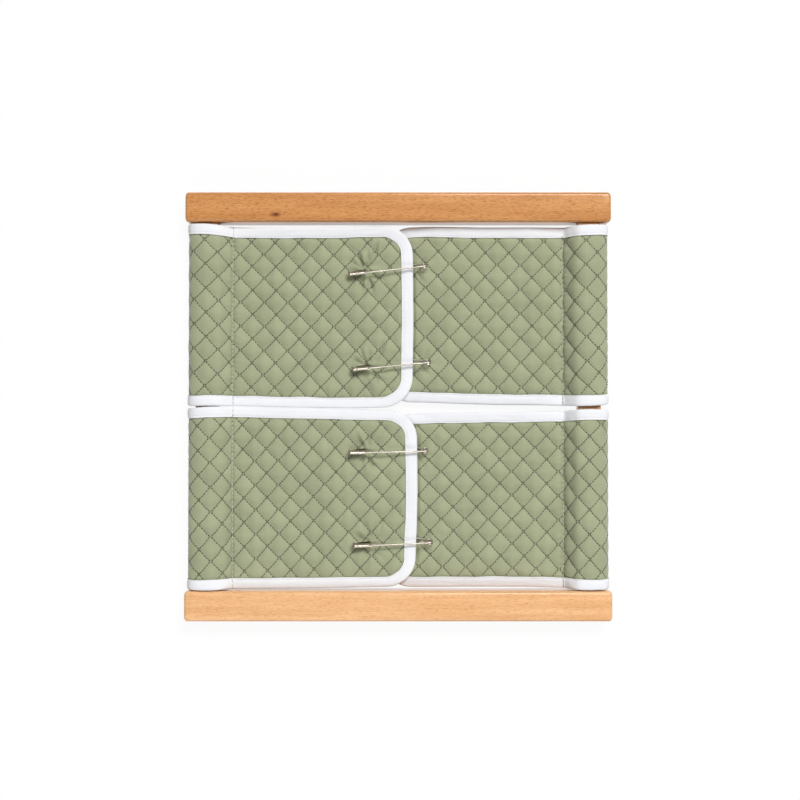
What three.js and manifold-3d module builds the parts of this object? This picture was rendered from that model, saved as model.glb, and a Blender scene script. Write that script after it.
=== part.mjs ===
// Dressing frame with safety pins. Millimetres, lying flat: X to the right,
// Y up the front view, Z out of the front face, and the rails stand on Z = 0.
import * as THREE from "three";
import { RoundedBoxGeometry } from "three/addons/geometries/RoundedBoxGeometry.js";
import { mergeVertices } from "three/addons/utils/BufferGeometryUtils.js";
import Module from "manifold-3d";

const wasm = await Module();
wasm.setup();

// Wooden frame
const railLength = 305;
const railWidth = 21.5;
const railHeight = 19;
const railRound = 2.6;
const railSteps = 2;
const openingHeight = 263.5;
const barWidth = 16.5;
const barThickness = 11.6;
const barRound = 2;
const barInset = 7.25;
const tenonLength = 10;
const tenonWidth = 10.5;
const tenonThickness = 7;
const woodGap = 0.1;

// Wood screws in the rails' outer edges
const screwLength = 32;
const shankDiameter = 3.4;
const screwHeadDiameter = 7.4;
const screwHeadDepth = 2.6;
const screwTipLength = 5;
const recessWidth = 1;
const recessSpan = 3.6;
const recessDepth = 1.6;

// Quilted cloth and its bias tape
const sheetThickness = 1.2;
const puff = 0.8;
const quiltPitchX = 16.8;
const quiltPitchY = 17.2;
const tapeThickness = 0.4;
const tapeGap = 0.25;
const tapeWidth = 8.4;
const cornerRadius = 20;
const restGap = 0.3;
const rightFlapBase = 7;

// Flaps in their rows
const leftEndGap = 0.9;
const rightEndGap = 1.6;
const leftRowGap = 2.5;
const rightRowGap = 5.5;
const upperReach = 10.8;
const lowerReach = 13.7;
const rightReach = 10.8;

// Sleeves round the bars
const seamToBar = 9.75;
const sleeveTop = 17.5;
const sleeveBottom = 1.6;
const sleeveShoulder = 0.45;
const sleeveLead = 1.2;
const sleeveReach = 31.3;
const foldBack = 6.5;
const sleeveRoundShare = 0.72;
const sleeveRiseShare = 0.52;

// Safety pins
const wireRadius = 0.58;
const coilRadius = 1.95;
const armGap = 0.3;
const pinBow = 4.6;
const pinTilt = THREE.MathUtils.degToRad(35);
const backLength = 54.4;
const needleShort = 2.4;
const pointLength = 7;
const pointRadius = 0.12;
const headLength = 13.2;
const headSheet = 0.35;
const headGap = 0.2;
const headDepth = 5.3;
const headLip = 0.16;
const headMouthDepth = 1.6;

// Each pin's coil, past the left flap's free edge and in from the flap's end
const pinAPastEdge = 7.8;
const pinAFromEnd = 29.95;
const pinBPastEdge = 10.4;
const pinBFromEnd = 30.35;
const pinCPastEdge = 5.5;
const pinCFromEnd = 30.55;
const pinDPastEdge = 8.7;
const pinDFromEnd = 33.55;

// Room that a cut takes past a face, and how near two points are one
const overrun = 1;
const weldDistance = 1e-4;

const barCentreX = railLength / 2 - barInset - barWidth / 2;
const seamX = barCentreX - barWidth / 2 - seamToBar;
const railCentreY = (openingHeight + railWidth) / 2;
const flapCrown = sheetThickness + puff;
const tapeOuter = sheetThickness / 2 + tapeGap + tapeThickness;
const stackStep = 2 * tapeOuter + restGap;
const leftFlapBase = rightFlapBase + stackStep;

const leftHeight = (openingHeight - leftRowGap) / 2 - leftEndGap;
const rightHeight = (openingHeight - rightRowGap) / 2 - rightEndGap;
const leftFit = { side: -1, endGap: leftEndGap, height: leftHeight };
const rightFit = { side: 1, endGap: rightEndGap, height: rightHeight, reach: rightReach };

const panels = [
  { name: "upper_left", row: 1, reach: upperReach, ...leftFit },
  { name: "upper_right", row: 1, ...rightFit },
  { name: "lower_left", row: -1, reach: lowerReach, ...leftFit },
  { name: "lower_right", row: -1, ...rightFit },
];

const upperX = (pastEdge) => upperReach + pastEdge;
const lowerX = (pastEdge) => lowerReach + pastEdge;
const outerY = (fromEnd) => openingHeight / 2 - leftEndGap - fromEnd;
const innerY = (fromEnd) => leftRowGap / 2 + fromEnd;

// The headings are degrees that each pin is turned in plan
const pins = [
  { name: "a", coilX: upperX(pinAPastEdge), coilY: outerY(pinAFromEnd), heading: 6 },
  { name: "b", coilX: upperX(pinBPastEdge), coilY: innerY(pinBFromEnd), heading: 4.9 },
  { name: "c", coilX: lowerX(pinCPastEdge), coilY: -innerY(pinCFromEnd), heading: 0.7 },
  { name: "d", coilX: lowerX(pinDPastEdge), coilY: -outerY(pinDFromEnd), heading: 1.6 },
];

// Manifold solids and three.js geometries

function toSolid(geometry) {
  const bare = geometry.clone();
  bare.deleteAttribute("normal");
  bare.deleteAttribute("uv");
  const welded = mergeVertices(bare, weldDistance);
  return new wasm.Manifold(
    new wasm.Mesh({
      numProp: 3,
      vertProperties: new Float32Array(welded.attributes.position.array),
      triVerts: new Uint32Array(welded.index.array),
    }),
  );
}

function toGeometry(solid) {
  const mesh = solid.getMesh();
  const geometry = new THREE.BufferGeometry();
  geometry.setAttribute("position", new THREE.BufferAttribute(mesh.vertProperties, 3));
  geometry.setIndex(new THREE.BufferAttribute(mesh.triVerts, 1));
  geometry.computeVertexNormals();
  return geometry;
}

// A closed body over a row of rings that have the same number of points
function loft(rings) {
  const count = rings[0].length;
  const positions = rings.flat().flatMap((p) => [p.x, p.y, p.z]);
  const index = [];
  for (let r = 0; r + 1 < rings.length; r += 1) {
    for (let i = 0; i < count; i += 1) {
      const j = (i + 1) % count;
      const a = r * count + i;
      const b = r * count + j;
      index.push(a, b, b + count, a, b + count, a + count);
    }
  }
  const ends = [
    [0, rings[0], true],
    [(rings.length - 1) * count, rings.at(-1), false],
  ];
  for (const [start, ring, first] of ends) {
    const flat = THREE.ShapeUtils.triangulateShape(flatten(ring), []);
    for (const [a, b, c] of flat) {
      if (first) index.push(start + a, start + c, start + b);
      else index.push(start + a, start + b, start + c);
    }
  }
  return facingOut(fromLists(positions, index));
}

function fromLists(positions, index) {
  const geometry = new THREE.BufferGeometry();
  geometry.setAttribute("position", new THREE.Float32BufferAttribute(positions, 3));
  geometry.setIndex(index);
  return geometry;
}

// A ring's points in its own plane, for the triangles of an end cap
function flatten(ring) {
  const centre = ring.reduce((sum, p) => sum.add(p), new THREE.Vector3());
  centre.divideScalar(ring.length);
  const normal = new THREE.Vector3();
  ring.forEach((p, i) => {
    const next = ring[(i + 1) % ring.length];
    normal.add(p.clone().sub(centre).cross(next.clone().sub(centre)));
  });
  normal.normalize();
  const u = ring[0].clone().sub(centre).normalize();
  const v = normal.clone().cross(u);
  return ring.map((p) => {
    const d = p.clone().sub(centre);
    return new THREE.Vector2(d.dot(u), d.dot(v));
  });
}

function facingOut(geometry) {
  const p = geometry.attributes.position;
  const index = geometry.index.array;
  let volume = 0;
  const [a, b, c] = [new THREE.Vector3(), new THREE.Vector3(), new THREE.Vector3()];
  for (let i = 0; i < index.length; i += 3) {
    a.fromBufferAttribute(p, index[i]);
    b.fromBufferAttribute(p, index[i + 1]);
    c.fromBufferAttribute(p, index[i + 2]);
    volume += a.dot(b.cross(c));
  }
  if (volume < 0) {
    for (let i = 0; i < index.length; i += 3) {
      [index[i + 1], index[i + 2]] = [index[i + 2], index[i + 1]];
    }
  }
  return geometry;
}

function block(width, depth, height, centre) {
  const box = new THREE.BoxGeometry(width, depth, height);
  box.translate(centre.x, centre.y, centre.z);
  return toSolid(box);
}

function roundedRect(width, height, radius, steps) {
  const shape = new THREE.Shape();
  const [w, h] = [width / 2, height / 2];
  shape.moveTo(-w + radius, -h);
  shape.lineTo(w - radius, -h);
  shape.absarc(w - radius, -h + radius, radius, -Math.PI / 2, 0, false);
  shape.lineTo(w, h - radius);
  shape.absarc(w - radius, h - radius, radius, 0, Math.PI / 2, false);
  shape.lineTo(-w + radius, h);
  shape.absarc(-w + radius, h - radius, radius, Math.PI / 2, Math.PI, false);
  shape.lineTo(-w, -h + radius);
  shape.absarc(-w + radius, -h + radius, radius, Math.PI, (3 * Math.PI) / 2, false);
  return new THREE.Shape(shape.extractPoints(steps).shape);
}

function prism(shape, from, to) {
  const solid = new THREE.ExtrudeGeometry(shape, { depth: to - from, bevelEnabled: false });
  solid.translate(0, 0, from);
  return toSolid(solid);
}

// Rails, bars and screws

const screwSides = 16;
const barRoundSteps = 3;

// A screw stands along Z with its head's face at 0, and turns to face row by row
function screwProfile(extra) {
  const head = screwHeadDiameter / 2 + extra;
  const shank = shankDiameter / 2 + extra;
  const end = -screwLength - extra;
  return [
    new THREE.Vector2(0, end),
    new THREE.Vector2(shank, end + screwTipLength),
    new THREE.Vector2(shank, -screwHeadDepth - extra),
    new THREE.Vector2(head, -extra),
    new THREE.Vector2(head, 0),
    new THREE.Vector2(0, 0),
  ];
}

function screwSolid(extra) {
  const turned = new THREE.LatheGeometry(screwProfile(extra), screwSides);
  return toSolid(turned);
}

function placeScrew(solid, side, row) {
  const at = new THREE.Matrix4().makeTranslation(
    side * barCentreX,
    row * (railCentreY + railWidth / 2),
    railHeight / 2,
  );
  const turn = new THREE.Matrix4().makeRotationX(row > 0 ? 0 : Math.PI);
  return solid.transform(at.multiply(turn).elements);
}

function screw(side, row) {
  const cross = block(recessSpan, 2 * recessDepth, recessWidth, new THREE.Vector3()).add(
    block(recessWidth, 2 * recessDepth, recessSpan, new THREE.Vector3()),
  );
  return placeScrew(screwSolid(0).subtract(cross), side, row);
}

function screwHole(side, row) {
  const open = new THREE.CylinderGeometry(
    screwHeadDiameter / 2 + woodGap,
    screwHeadDiameter / 2 + woodGap,
    overrun,
    screwSides,
  );
  open.translate(0, overrun / 2, 0);
  return placeScrew(screwSolid(woodGap).add(toSolid(open)), side, row);
}

function barBody(extra) {
  const section = roundedRect(barWidth, barThickness, barRound, barRoundSteps);
  const length = openingHeight - 2 * woodGap;
  const shaft = new THREE.ExtrudeGeometry(section, { depth: length, bevelEnabled: false });
  shaft.translate(0, 0, -length / 2);
  shaft.rotateX(Math.PI / 2);
  const tenon = block(
    tenonWidth + 2 * extra,
    openingHeight + 2 * tenonLength + 2 * extra,
    tenonThickness + 2 * extra,
    new THREE.Vector3(),
  );
  return toSolid(shaft).add(tenon);
}

function sideBar(side) {
  const bar = barBody(0).translate([side * barCentreX, 0, railHeight / 2]);
  return bar.subtract(screwHole(side, 1)).subtract(screwHole(side, -1));
}

function rail(row) {
  const body = new RoundedBoxGeometry(railLength, railWidth, railHeight, railSteps, railRound);
  body.translate(0, row * railCentreY, railHeight / 2);
  let solid = toSolid(body);
  for (const side of [-1, 1]) {
    const mortise = block(
      tenonWidth + 2 * woodGap,
      openingHeight + 2 * tenonLength + 2 * woodGap,
      tenonThickness + 2 * woodGap,
      new THREE.Vector3(side * barCentreX, 0, railHeight / 2),
    );
    solid = solid.subtract(mortise).subtract(screwHole(side, row));
  }
  return solid;
}

// Quilted cloth

// Height of the quilting, from 0 on the stitch lines to 1 in a diamond's middle
function quiltShare(x, y) {
  const u = x / quiltPitchX + y / quiltPitchY;
  const v = x / quiltPitchX - y / quiltPitchY;
  return Math.sqrt(Math.abs(Math.sin(Math.PI * u) * Math.sin(Math.PI * v)));
}

// A quilted slab with its flat side at Z = base, larger than the window it fills.
// Each diamond is four triangles that rise from the stitch lines to its middle.
function quiltedSlab(minX, maxX, minY, maxY, base) {
  const [stepX, stepY] = [quiltPitchX / 2, quiltPitchY / 2];
  const [i0, i1] = [Math.floor(minX / stepX), Math.ceil(maxX / stepX)];
  const [j0, j1] = [Math.floor(minY / stepY), Math.ceil(maxY / stepY)];
  const columns = j1 - j0 + 1;
  const positions = [];
  for (let i = i0; i <= i1; i += 1) {
    for (let j = j0; j <= j1; j += 1) {
      const [x, y] = [i * stepX, j * stepY];
      positions.push(x, y, base + sheetThickness + puff * quiltShare(x, y));
    }
  }
  const node = (i, j) => (i - i0) * columns + (j - j0);
  const index = [];
  for (let i = i0; i < i1; i += 1) {
    for (let j = j0; j < j1; j += 1) {
      const [a, b] = [node(i, j), node(i + 1, j)];
      const [c, d] = [node(i + 1, j + 1), node(i, j + 1)];
      if ((i + j) % 2 === 0) index.push(a, b, c, a, c, d);
      else index.push(a, b, d, b, c, d);
    }
  }
  const rim = [];
  for (let i = i0; i < i1; i += 1) rim.push([i, j0]);
  for (let j = j0; j < j1; j += 1) rim.push([i1, j]);
  for (let i = i1; i > i0; i -= 1) rim.push([i, j1]);
  for (let j = j1; j > j0; j -= 1) rim.push([i0, j]);
  const first = positions.length / 3;
  rim.forEach(([i, j]) => positions.push(i * stepX, j * stepY, base));
  const centre = positions.length / 3;
  positions.push(((i0 + i1) / 2) * stepX, ((j0 + j1) / 2) * stepY, base);
  rim.forEach(([i, j], k) => {
    const next = (k + 1) % rim.length;
    const [ni, nj] = rim[next];
    index.push(node(i, j), first + k, first + next);
    index.push(node(i, j), first + next, node(ni, nj));
    index.push(centre, first + next, first + k);
  });
  return toSolid(facingOut(fromLists(positions, index)));
}

function panelFrame(panel) {
  const halfOpening = openingHeight / 2;
  const outer = panel.row * (halfOpening - panel.endGap);
  const centreY = outer - (panel.row * panel.height) / 2;
  const base = panel.side < 0 ? leftFlapBase : rightFlapBase;
  return { centreY, base };
}

// Outline of a flap drawn in by some width on its three free edges
function flapOutline(panel, inset, rootX) {
  const freeX = panel.reach - inset;
  const half = panel.height / 2 - inset;
  const radius = cornerRadius - inset;
  const shape = new THREE.Shape();
  shape.moveTo(-rootX, -half);
  shape.lineTo(freeX - radius, -half);
  shape.absarc(freeX - radius, -half + radius, radius, -Math.PI / 2, 0, false);
  shape.lineTo(freeX, half - radius);
  shape.absarc(freeX - radius, half - radius, radius, 0, Math.PI / 2, false);
  shape.lineTo(-rootX, half);
  const steps = 5;
  return new THREE.Shape(shape.extractPoints(steps).shape);
}

// Flaps are made as left ones and turned over to the right side in plan
function toPlace(solid, panel) {
  const { centreY } = panelFrame(panel);
  const placed = panel.side < 0 ? solid : solid.mirror([1, 0, 0]);
  return placed.translate([0, centreY, 0]);
}

function flap(panel) {
  const { base } = panelFrame(panel);
  const edge = tapeThickness + tapeGap;
  const root = seamX - restGap / 2;
  const plate = prism(flapOutline(panel, edge, root), base, base + sheetThickness);
  const window = prism(
    flapOutline(panel, tapeWidth + tapeGap, root),
    base + sheetThickness / 2,
    base + flapCrown + overrun,
  );
  const half = panel.height / 2;
  const slab = quiltedSlab(-seamX, panel.reach, -half, half, base);
  let solid = toPlace(plate.add(slab.intersect(window)), panel);
  for (const pin of pins) {
    solid = solid.subtract(needlePath(pin, panel.side > 0));
  }
  return solid;
}

function flapBinding(panel) {
  const { base } = panelFrame(panel);
  const middle = base + sheetThickness / 2;
  const channel = sheetThickness / 2 + tapeGap;
  const root = seamX - restGap / 2;
  const outer = prism(flapOutline(panel, 0, root), middle - tapeOuter, middle + tapeOuter);
  const hollow = prism(
    flapOutline(panel, tapeThickness, root + overrun),
    middle - channel,
    middle + channel,
  );
  const window = prism(
    flapOutline(panel, tapeWidth, root + overrun),
    middle - tapeOuter - overrun,
    middle + tapeOuter + overrun,
  );
  let solid = toPlace(outer.subtract(hollow).subtract(window), panel);
  for (const pin of pins) {
    solid = solid.subtract(needlePath(pin, panel.side > 0));
  }
  return solid;
}

// The sheet's middle line round a bar, as distances out from the seam and up
function sleevePath(base) {
  const seam = base + sheetThickness / 2;
  const tail = seam - stackStep;
  const barOut = seamToBar + barWidth;
  const middle = (sleeveTop + sleeveBottom) / 2;
  const half = (sleeveTop - sleeveBottom) / 2;
  const points = [
    [0, seam],
    [sleeveLead, seam],
    [seamToBar * sleeveRiseShare, seam + (sleeveTop - seam) * sleeveRiseShare],
    [seamToBar, sleeveTop - sleeveShoulder],
    [(seamToBar + barOut) / 2, sleeveTop],
    [barOut - sleeveShoulder, sleeveTop],
    [sleeveReach - half * (1 - sleeveRoundShare), middle + half * sleeveRoundShare],
    [sleeveReach, middle],
    [sleeveReach - half * (1 - sleeveRoundShare), middle - half * sleeveRoundShare],
    [barOut - sleeveShoulder, sleeveBottom],
    [(seamToBar + barOut) / 2, sleeveBottom],
    [seamToBar, sleeveBottom + sleeveShoulder],
    [seamToBar * sleeveRiseShare, tail + (sleeveBottom - tail) * sleeveRiseShare],
    [0, tail],
    [-foldBack / 2, tail],
    [-foldBack, tail],
  ];
  const curve = new THREE.CatmullRomCurve3(
    points.map(([u, z]) => new THREE.Vector3(u, 0, z)),
    false,
    "centripetal",
  );
  return curve;
}

const sleeveSteps = 18;

function sleeveStations(base) {
  const curve = sleevePath(base);
  const stations = [];
  for (let i = 0; i <= sleeveSteps; i += 1) {
    const point = curve.getPointAt(i / sleeveSteps);
    const tangent = curve.getTangentAt(i / sleeveSteps);
    const normal = new THREE.Vector3(-tangent.z, 0, tangent.x);
    stations.push({ point, tangent, normal });
  }
  return stations;
}

// A ribbon that follows the sleeve between two offsets from its middle line. The
// hollow of a binding runs on past the ribbon's two ends.
function ribbon(base, inner, outer, fromY, toY, runOn = 0) {
  const stations = sleeveStations(base);
  const pastEnd = ({ point, tangent, normal }, past) => ({
    point: point.clone().addScaledVector(tangent, past),
    normal,
  });
  if (runOn > 0) {
    stations.unshift(pastEnd(stations[0], -runOn));
    stations.push(pastEnd(stations.at(-1), runOn));
  }
  const along = (offset) =>
    stations.map(({ point, normal }) => point.clone().addScaledVector(normal, offset));
  const section = [...along(outer), ...along(inner).reverse()];
  const ring = (y) => section.map((p) => new THREE.Vector3(-(seamX + p.x), y, p.z));
  return toSolid(loft([ring(fromY), ring(toY)]));
}

// The quilted outer face of a sleeve, over a plain inner face
function quiltedRibbon(base, fromY, toY) {
  const stations = sleeveStations(base);
  const rows = Math.round((toY - fromY) / (quiltPitchY / 4));
  const half = sheetThickness / 2;
  const positions = [];
  const put = ({ point, normal }, offset, y) => {
    const p = point.clone().addScaledVector(normal, offset);
    positions.push(-(seamX + p.x), y, p.z);
  };
  for (let j = 0; j <= rows; j += 1) {
    const y = THREE.MathUtils.lerp(fromY, toY, j / rows);
    stations.forEach((station, i) => {
      const free = i > 0 && i < sleeveSteps - 1 && j > 0 && j < rows;
      const share = free ? quiltShare((i * quiltPitchX) / 4, (j * quiltPitchY) / 4) : 0;
      put(station, half + puff * share, y);
    });
  }
  const width = stations.length;
  const under = positions.length / 3;
  for (const y of [fromY, toY]) stations.forEach((station) => put(station, -half, y));
  const index = [];
  const quad = (a, b, c, d, falling) => {
    if (falling) index.push(a, b, d, b, c, d);
    else index.push(a, b, c, a, c, d);
  };
  for (let j = 0; j < rows; j += 1) {
    for (let i = 0; i < sleeveSteps; i += 1) {
      const a = j * width + i;
      quad(a, a + 1, a + 1 + width, a + width, (i + j + 1) % 4 === 0);
    }
  }
  const top = rows * width;
  for (let i = 0; i < sleeveSteps; i += 1) {
    const [near, far] = [under + i, under + width + i];
    quad(near + 1, near, far, far + 1, false);
    quad(near, near + 1, i + 1, i, false);
    quad(top + i, top + i + 1, far + 1, far, false);
  }
  for (const i of [0, sleeveSteps]) {
    const fan = [];
    for (let j = 0; j < rows; j += 1) {
      fan.push([under + i, j * width + i, (j + 1) * width + i]);
    }
    fan.push([under + i, top + i, under + width + i]);
    fan.forEach(([a, b, c]) => index.push(...(i > 0 ? [a, c, b] : [a, b, c])));
  }
  return toSolid(facingOut(fromLists(positions, index)));
}

function sleeve(panel) {
  const { base } = panelFrame(panel);
  const edge = tapeThickness + tapeGap;
  const half = panel.height / 2;
  const quilted = half - tapeWidth - tapeGap;
  const ends = ribbon(base, -sheetThickness / 2, sheetThickness / 2, -half + edge, half - edge);
  return toPlace(ends.add(quiltedRibbon(base, -quilted, quilted)), panel);
}

function sleeveBinding(panel, end) {
  const { base } = panelFrame(panel);
  const half = panel.height / 2;
  const channel = sheetThickness / 2 + tapeGap;
  const [low, high] = end > 0 ? [half - tapeWidth, half] : [-half, -half + tapeWidth];
  const [openLow, openHigh] =
    end > 0
      ? [low - overrun, high - tapeThickness]
      : [low + tapeThickness, high + overrun];
  const outer = ribbon(base, -tapeOuter, tapeOuter, low, high);
  const hollow = ribbon(base, -channel, channel, openLow, openHigh, overrun);
  return toPlace(outer.subtract(hollow), panel);
}

// Safety pins, drawn with the coil's centre at 0, the head towards -X, the back
// arm above and the needle below, then tilted, raised at the head and turned

const coilDrop =
  (coilRadius + wireRadius) * Math.cos(pinTilt) +
  (armGap / 2 + 2 * wireRadius) * Math.sin(pinTilt);
const coilZ = rightFlapBase + flapCrown + restGap + coilDrop;
const needleLength = backLength - needleShort;
const headBottom = headDepth - coilRadius - wireRadius - headGap - headSheet;
const headSide = wireRadius + headGap + headSheet;
const headDrop = headBottom * Math.cos(pinTilt) + headSide * Math.sin(pinTilt);
const headMouth = backLength - headLength;
const headRise = leftFlapBase + flapCrown + restGap + headDrop - coilZ;
const pinPitch = Math.atan(headRise / headMouth);

function pinMatrix(pin) {
  const heading = THREE.MathUtils.degToRad(pin.heading);
  return new THREE.Matrix4()
    .makeTranslation(pin.coilX, pin.coilY, coilZ)
    .multiply(new THREE.Matrix4().makeRotationZ(heading))
    .multiply(new THREE.Matrix4().makeRotationY(pinPitch))
    .multiply(new THREE.Matrix4().makeRotationX(pinTilt));
}

function needlePoint(distance) {
  const share = distance / needleLength;
  // 27/4 brings the curve's greatest value, a third of the way along, to 1
  const bow = (27 / 4) * share * (1 - share) ** 2;
  const side = (armGap / 2 + wireRadius) * (1 - share);
  return new THREE.Vector3(-distance, -side, -coilRadius - pinBow * bow);
}

// Three quarters and more of a turn, which ends clear of the arm it starts from
function eyePoints(up, side) {
  const steps = 11;
  const openShare = 0.17;
  const points = [];
  for (let i = 0; i <= steps; i += 1) {
    const angle = (1 - i / steps) * (1 - openShare) * 2 * Math.PI;
    const x = coilRadius * Math.sin(angle);
    const z = up * coilRadius * Math.cos(angle);
    points.push(new THREE.Vector3(x, side, z));
  }
  return points;
}

// A round wire through points, with a radius at each
function wire(points, radii, sides) {
  const rings = [];
  let across = new THREE.Vector3(0, 1, 0);
  points.forEach((point, i) => {
    const before = points[Math.max(i - 1, 0)];
    const after = points[Math.min(i + 1, points.length - 1)];
    const tangent = after.clone().sub(before).normalize();
    across = across.clone().addScaledVector(tangent, -across.dot(tangent)).normalize();
    const other = tangent.clone().cross(across);
    const ring = [];
    for (let k = 0; k < sides; k += 1) {
      const angle = (2 * Math.PI * k) / sides;
      ring.push(
        point
          .clone()
          .addScaledVector(across, radii[i] * Math.cos(angle))
          .addScaledVector(other, radii[i] * Math.sin(angle)),
      );
    }
    rings.push(ring);
  });
  return toSolid(loft(rings));
}

const wireSides = 8;
const needleSteps = 12;

function needleArm(pin) {
  const side = -(armGap / 2 + wireRadius);
  const points = eyePoints(-1, side);
  const radii = points.map(() => wireRadius);
  for (let i = 1; i <= needleSteps; i += 1) {
    const distance = (i / needleSteps) * needleLength;
    const left = needleLength - distance;
    const share = Math.min(left / pointLength, 1);
    points.push(needlePoint(distance));
    radii.push(pointRadius + (wireRadius - pointRadius) * share);
  }
  return wire(points, radii, wireSides).transform(pinMatrix(pin).elements);
}

// The room a needle needs in the cloth. In the lower flap it is a groove that is
// open upwards, so that the upper flap can be lifted off it.
function needlePath(pin, open) {
  const sides = 6;
  const reach = (wireRadius + armGap) / Math.cos(Math.PI / sides);
  const rise = open ? 2 * flapCrown : 0;
  const matrix = pinMatrix(pin);
  const heading = THREE.MathUtils.degToRad(pin.heading);
  const across = new THREE.Vector3(-Math.sin(heading), Math.cos(heading), 0);
  const rings = [];
  for (let i = 0; i <= needleSteps; i += 1) {
    const at = needlePoint((i / needleSteps) * needleLength).applyMatrix4(matrix);
    const ring = [];
    for (let k = 0; k < sides; k += 1) {
      const angle = (2 * k * Math.PI) / sides;
      const z = reach * Math.sin(angle);
      const lift = new THREE.Vector3(0, 0, z > reach / sides ? z + rise : z);
      ring.push(at.clone().addScaledVector(across, reach * Math.cos(angle)).add(lift));
    }
    rings.push(ring);
  }
  return toSolid(loft(rings));
}

function backArm(pin) {
  const side = armGap / 2 + wireRadius;
  const points = eyePoints(1, side);
  points.push(new THREE.Vector3(-backLength / 2, side / 2, coilRadius));
  points.push(new THREE.Vector3(-backLength, 0, coilRadius));
  const radii = points.map(() => wireRadius);
  return wire(points, radii, wireSides).transform(pinMatrix(pin).elements);
}

// Section of the pressed head: a ridge over the back arm, a long cheek on the
// far side with a small lip, and a short cheek on the open side
function headSection() {
  const outer = headSide;
  const inner = headSide - headSheet;
  const ridge = coilRadius;
  const bottom = -headBottom;
  const mouth = ridge - headMouthDepth;
  const shape = new THREE.Shape();
  shape.moveTo(-outer, bottom);
  shape.lineTo(-inner + headLip, bottom);
  shape.lineTo(-inner + headLip, bottom + headSheet);
  shape.lineTo(-inner, bottom + 2 * headSheet);
  shape.lineTo(-inner, ridge);
  shape.absarc(0, ridge, inner, Math.PI, 0, true);
  shape.lineTo(inner, mouth);
  shape.lineTo(outer, mouth);
  shape.lineTo(outer, ridge);
  shape.absarc(0, ridge, outer, 0, Math.PI, false);
  const steps = 6;
  return new THREE.Shape(shape.extractPoints(steps).shape);
}

function headEnd() {
  const outer = headSide;
  const shape = new THREE.Shape();
  shape.moveTo(-outer, -headBottom + outer);
  shape.absarc(0, -headBottom + outer, outer, Math.PI, 2 * Math.PI, false);
  shape.lineTo(outer, coilRadius);
  shape.absarc(0, coilRadius, outer, 0, Math.PI, false);
  const steps = 6;
  return new THREE.Shape(shape.extractPoints(steps).shape);
}

function head(pin) {
  const end = backLength + headGap;
  const along = (shape, from, to) => {
    const piece = new THREE.ExtrudeGeometry(shape, { depth: to - from, bevelEnabled: false });
    piece.translate(0, 0, from);
    piece.applyMatrix4(
      new THREE.Matrix4().makeBasis(
        new THREE.Vector3(0, 1, 0),
        new THREE.Vector3(0, 0, 1),
        new THREE.Vector3(1, 0, 0),
      ),
    );
    return toSolid(piece);
  };
  const channel = along(headSection(), -end - headSheet / 2, -end + headLength);
  const nose = along(headEnd(), -end - headSheet, -end);
  return channel.add(nose).transform(pinMatrix(pin).elements);
}

// Materials

const beech = () =>
  new THREE.MeshStandardMaterial({ color: 0xd9a777, roughness: 0.55, metalness: 0 });
const sageCloth = () =>
  new THREE.MeshStandardMaterial({ color: 0xa2a785, roughness: 0.9, metalness: 0 });
const whiteTape = () =>
  new THREE.MeshStandardMaterial({ color: 0xf1f2f5, roughness: 0.85, metalness: 0 });
const nickel = () =>
  new THREE.MeshStandardMaterial({ color: 0xcfcabf, roughness: 0.25, metalness: 1 });
const zincSteel = () =>
  new THREE.MeshStandardMaterial({ color: 0xb9b6ac, roughness: 0.4, metalness: 1 });

const group = new THREE.Group();

function addPiece(name, solid, material) {
  const mesh = new THREE.Mesh(toGeometry(solid), material);
  mesh.name = name;
  group.add(mesh);
}

addPiece("top_rail", rail(1), beech());
addPiece("bottom_rail", rail(-1), beech());
for (const side of [-1, 1]) {
  const where = side < 0 ? "left" : "right";
  addPiece(`${where}_side_bar`, sideBar(side), beech());
  addPiece(`${where}_top_screw`, screw(side, 1), zincSteel());
  addPiece(`${where}_bottom_screw`, screw(side, -1), zincSteel());
}
for (const panel of panels) {
  addPiece(`${panel.name}_sleeve`, sleeve(panel), sageCloth());
  addPiece(`${panel.name}_sleeve_top_binding`, sleeveBinding(panel, 1), whiteTape());
  addPiece(`${panel.name}_sleeve_bottom_binding`, sleeveBinding(panel, -1), whiteTape());
  addPiece(`${panel.name}_flap`, flap(panel), sageCloth());
  addPiece(`${panel.name}_flap_binding`, flapBinding(panel), whiteTape());
}
for (const pin of pins) {
  addPiece(`pin_${pin.name}_needle`, needleArm(pin), nickel());
  addPiece(`pin_${pin.name}_back`, backArm(pin), nickel());
  addPiece(`pin_${pin.name}_head`, head(pin), nickel());
}

// Where each joint turns
const flapAxisHeight = (railHeight + barThickness) / 2 + woodGap;
console.log(`flap axes at x ${seamX}, z ${flapAxisHeight}`);
for (const pin of pins) {
  const axis = new THREE.Vector3(0, 1, 0).transformDirection(pinMatrix(pin));
  const at = [pin.coilX, pin.coilY, coilZ].map((v) => v.toFixed(3));
  const turn = axis.toArray().map((v) => v.toFixed(5));
  console.log(`pin ${pin.name} at ${at} turns about ${turn}`);
}

export default group;
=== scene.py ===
"""Dressing frame with safety pins: a beech frame that holds two pairs of quilted flaps, which four
safety pins close."""
import math

import bpy
import numpy as np
from mathutils import Matrix, Vector


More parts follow.
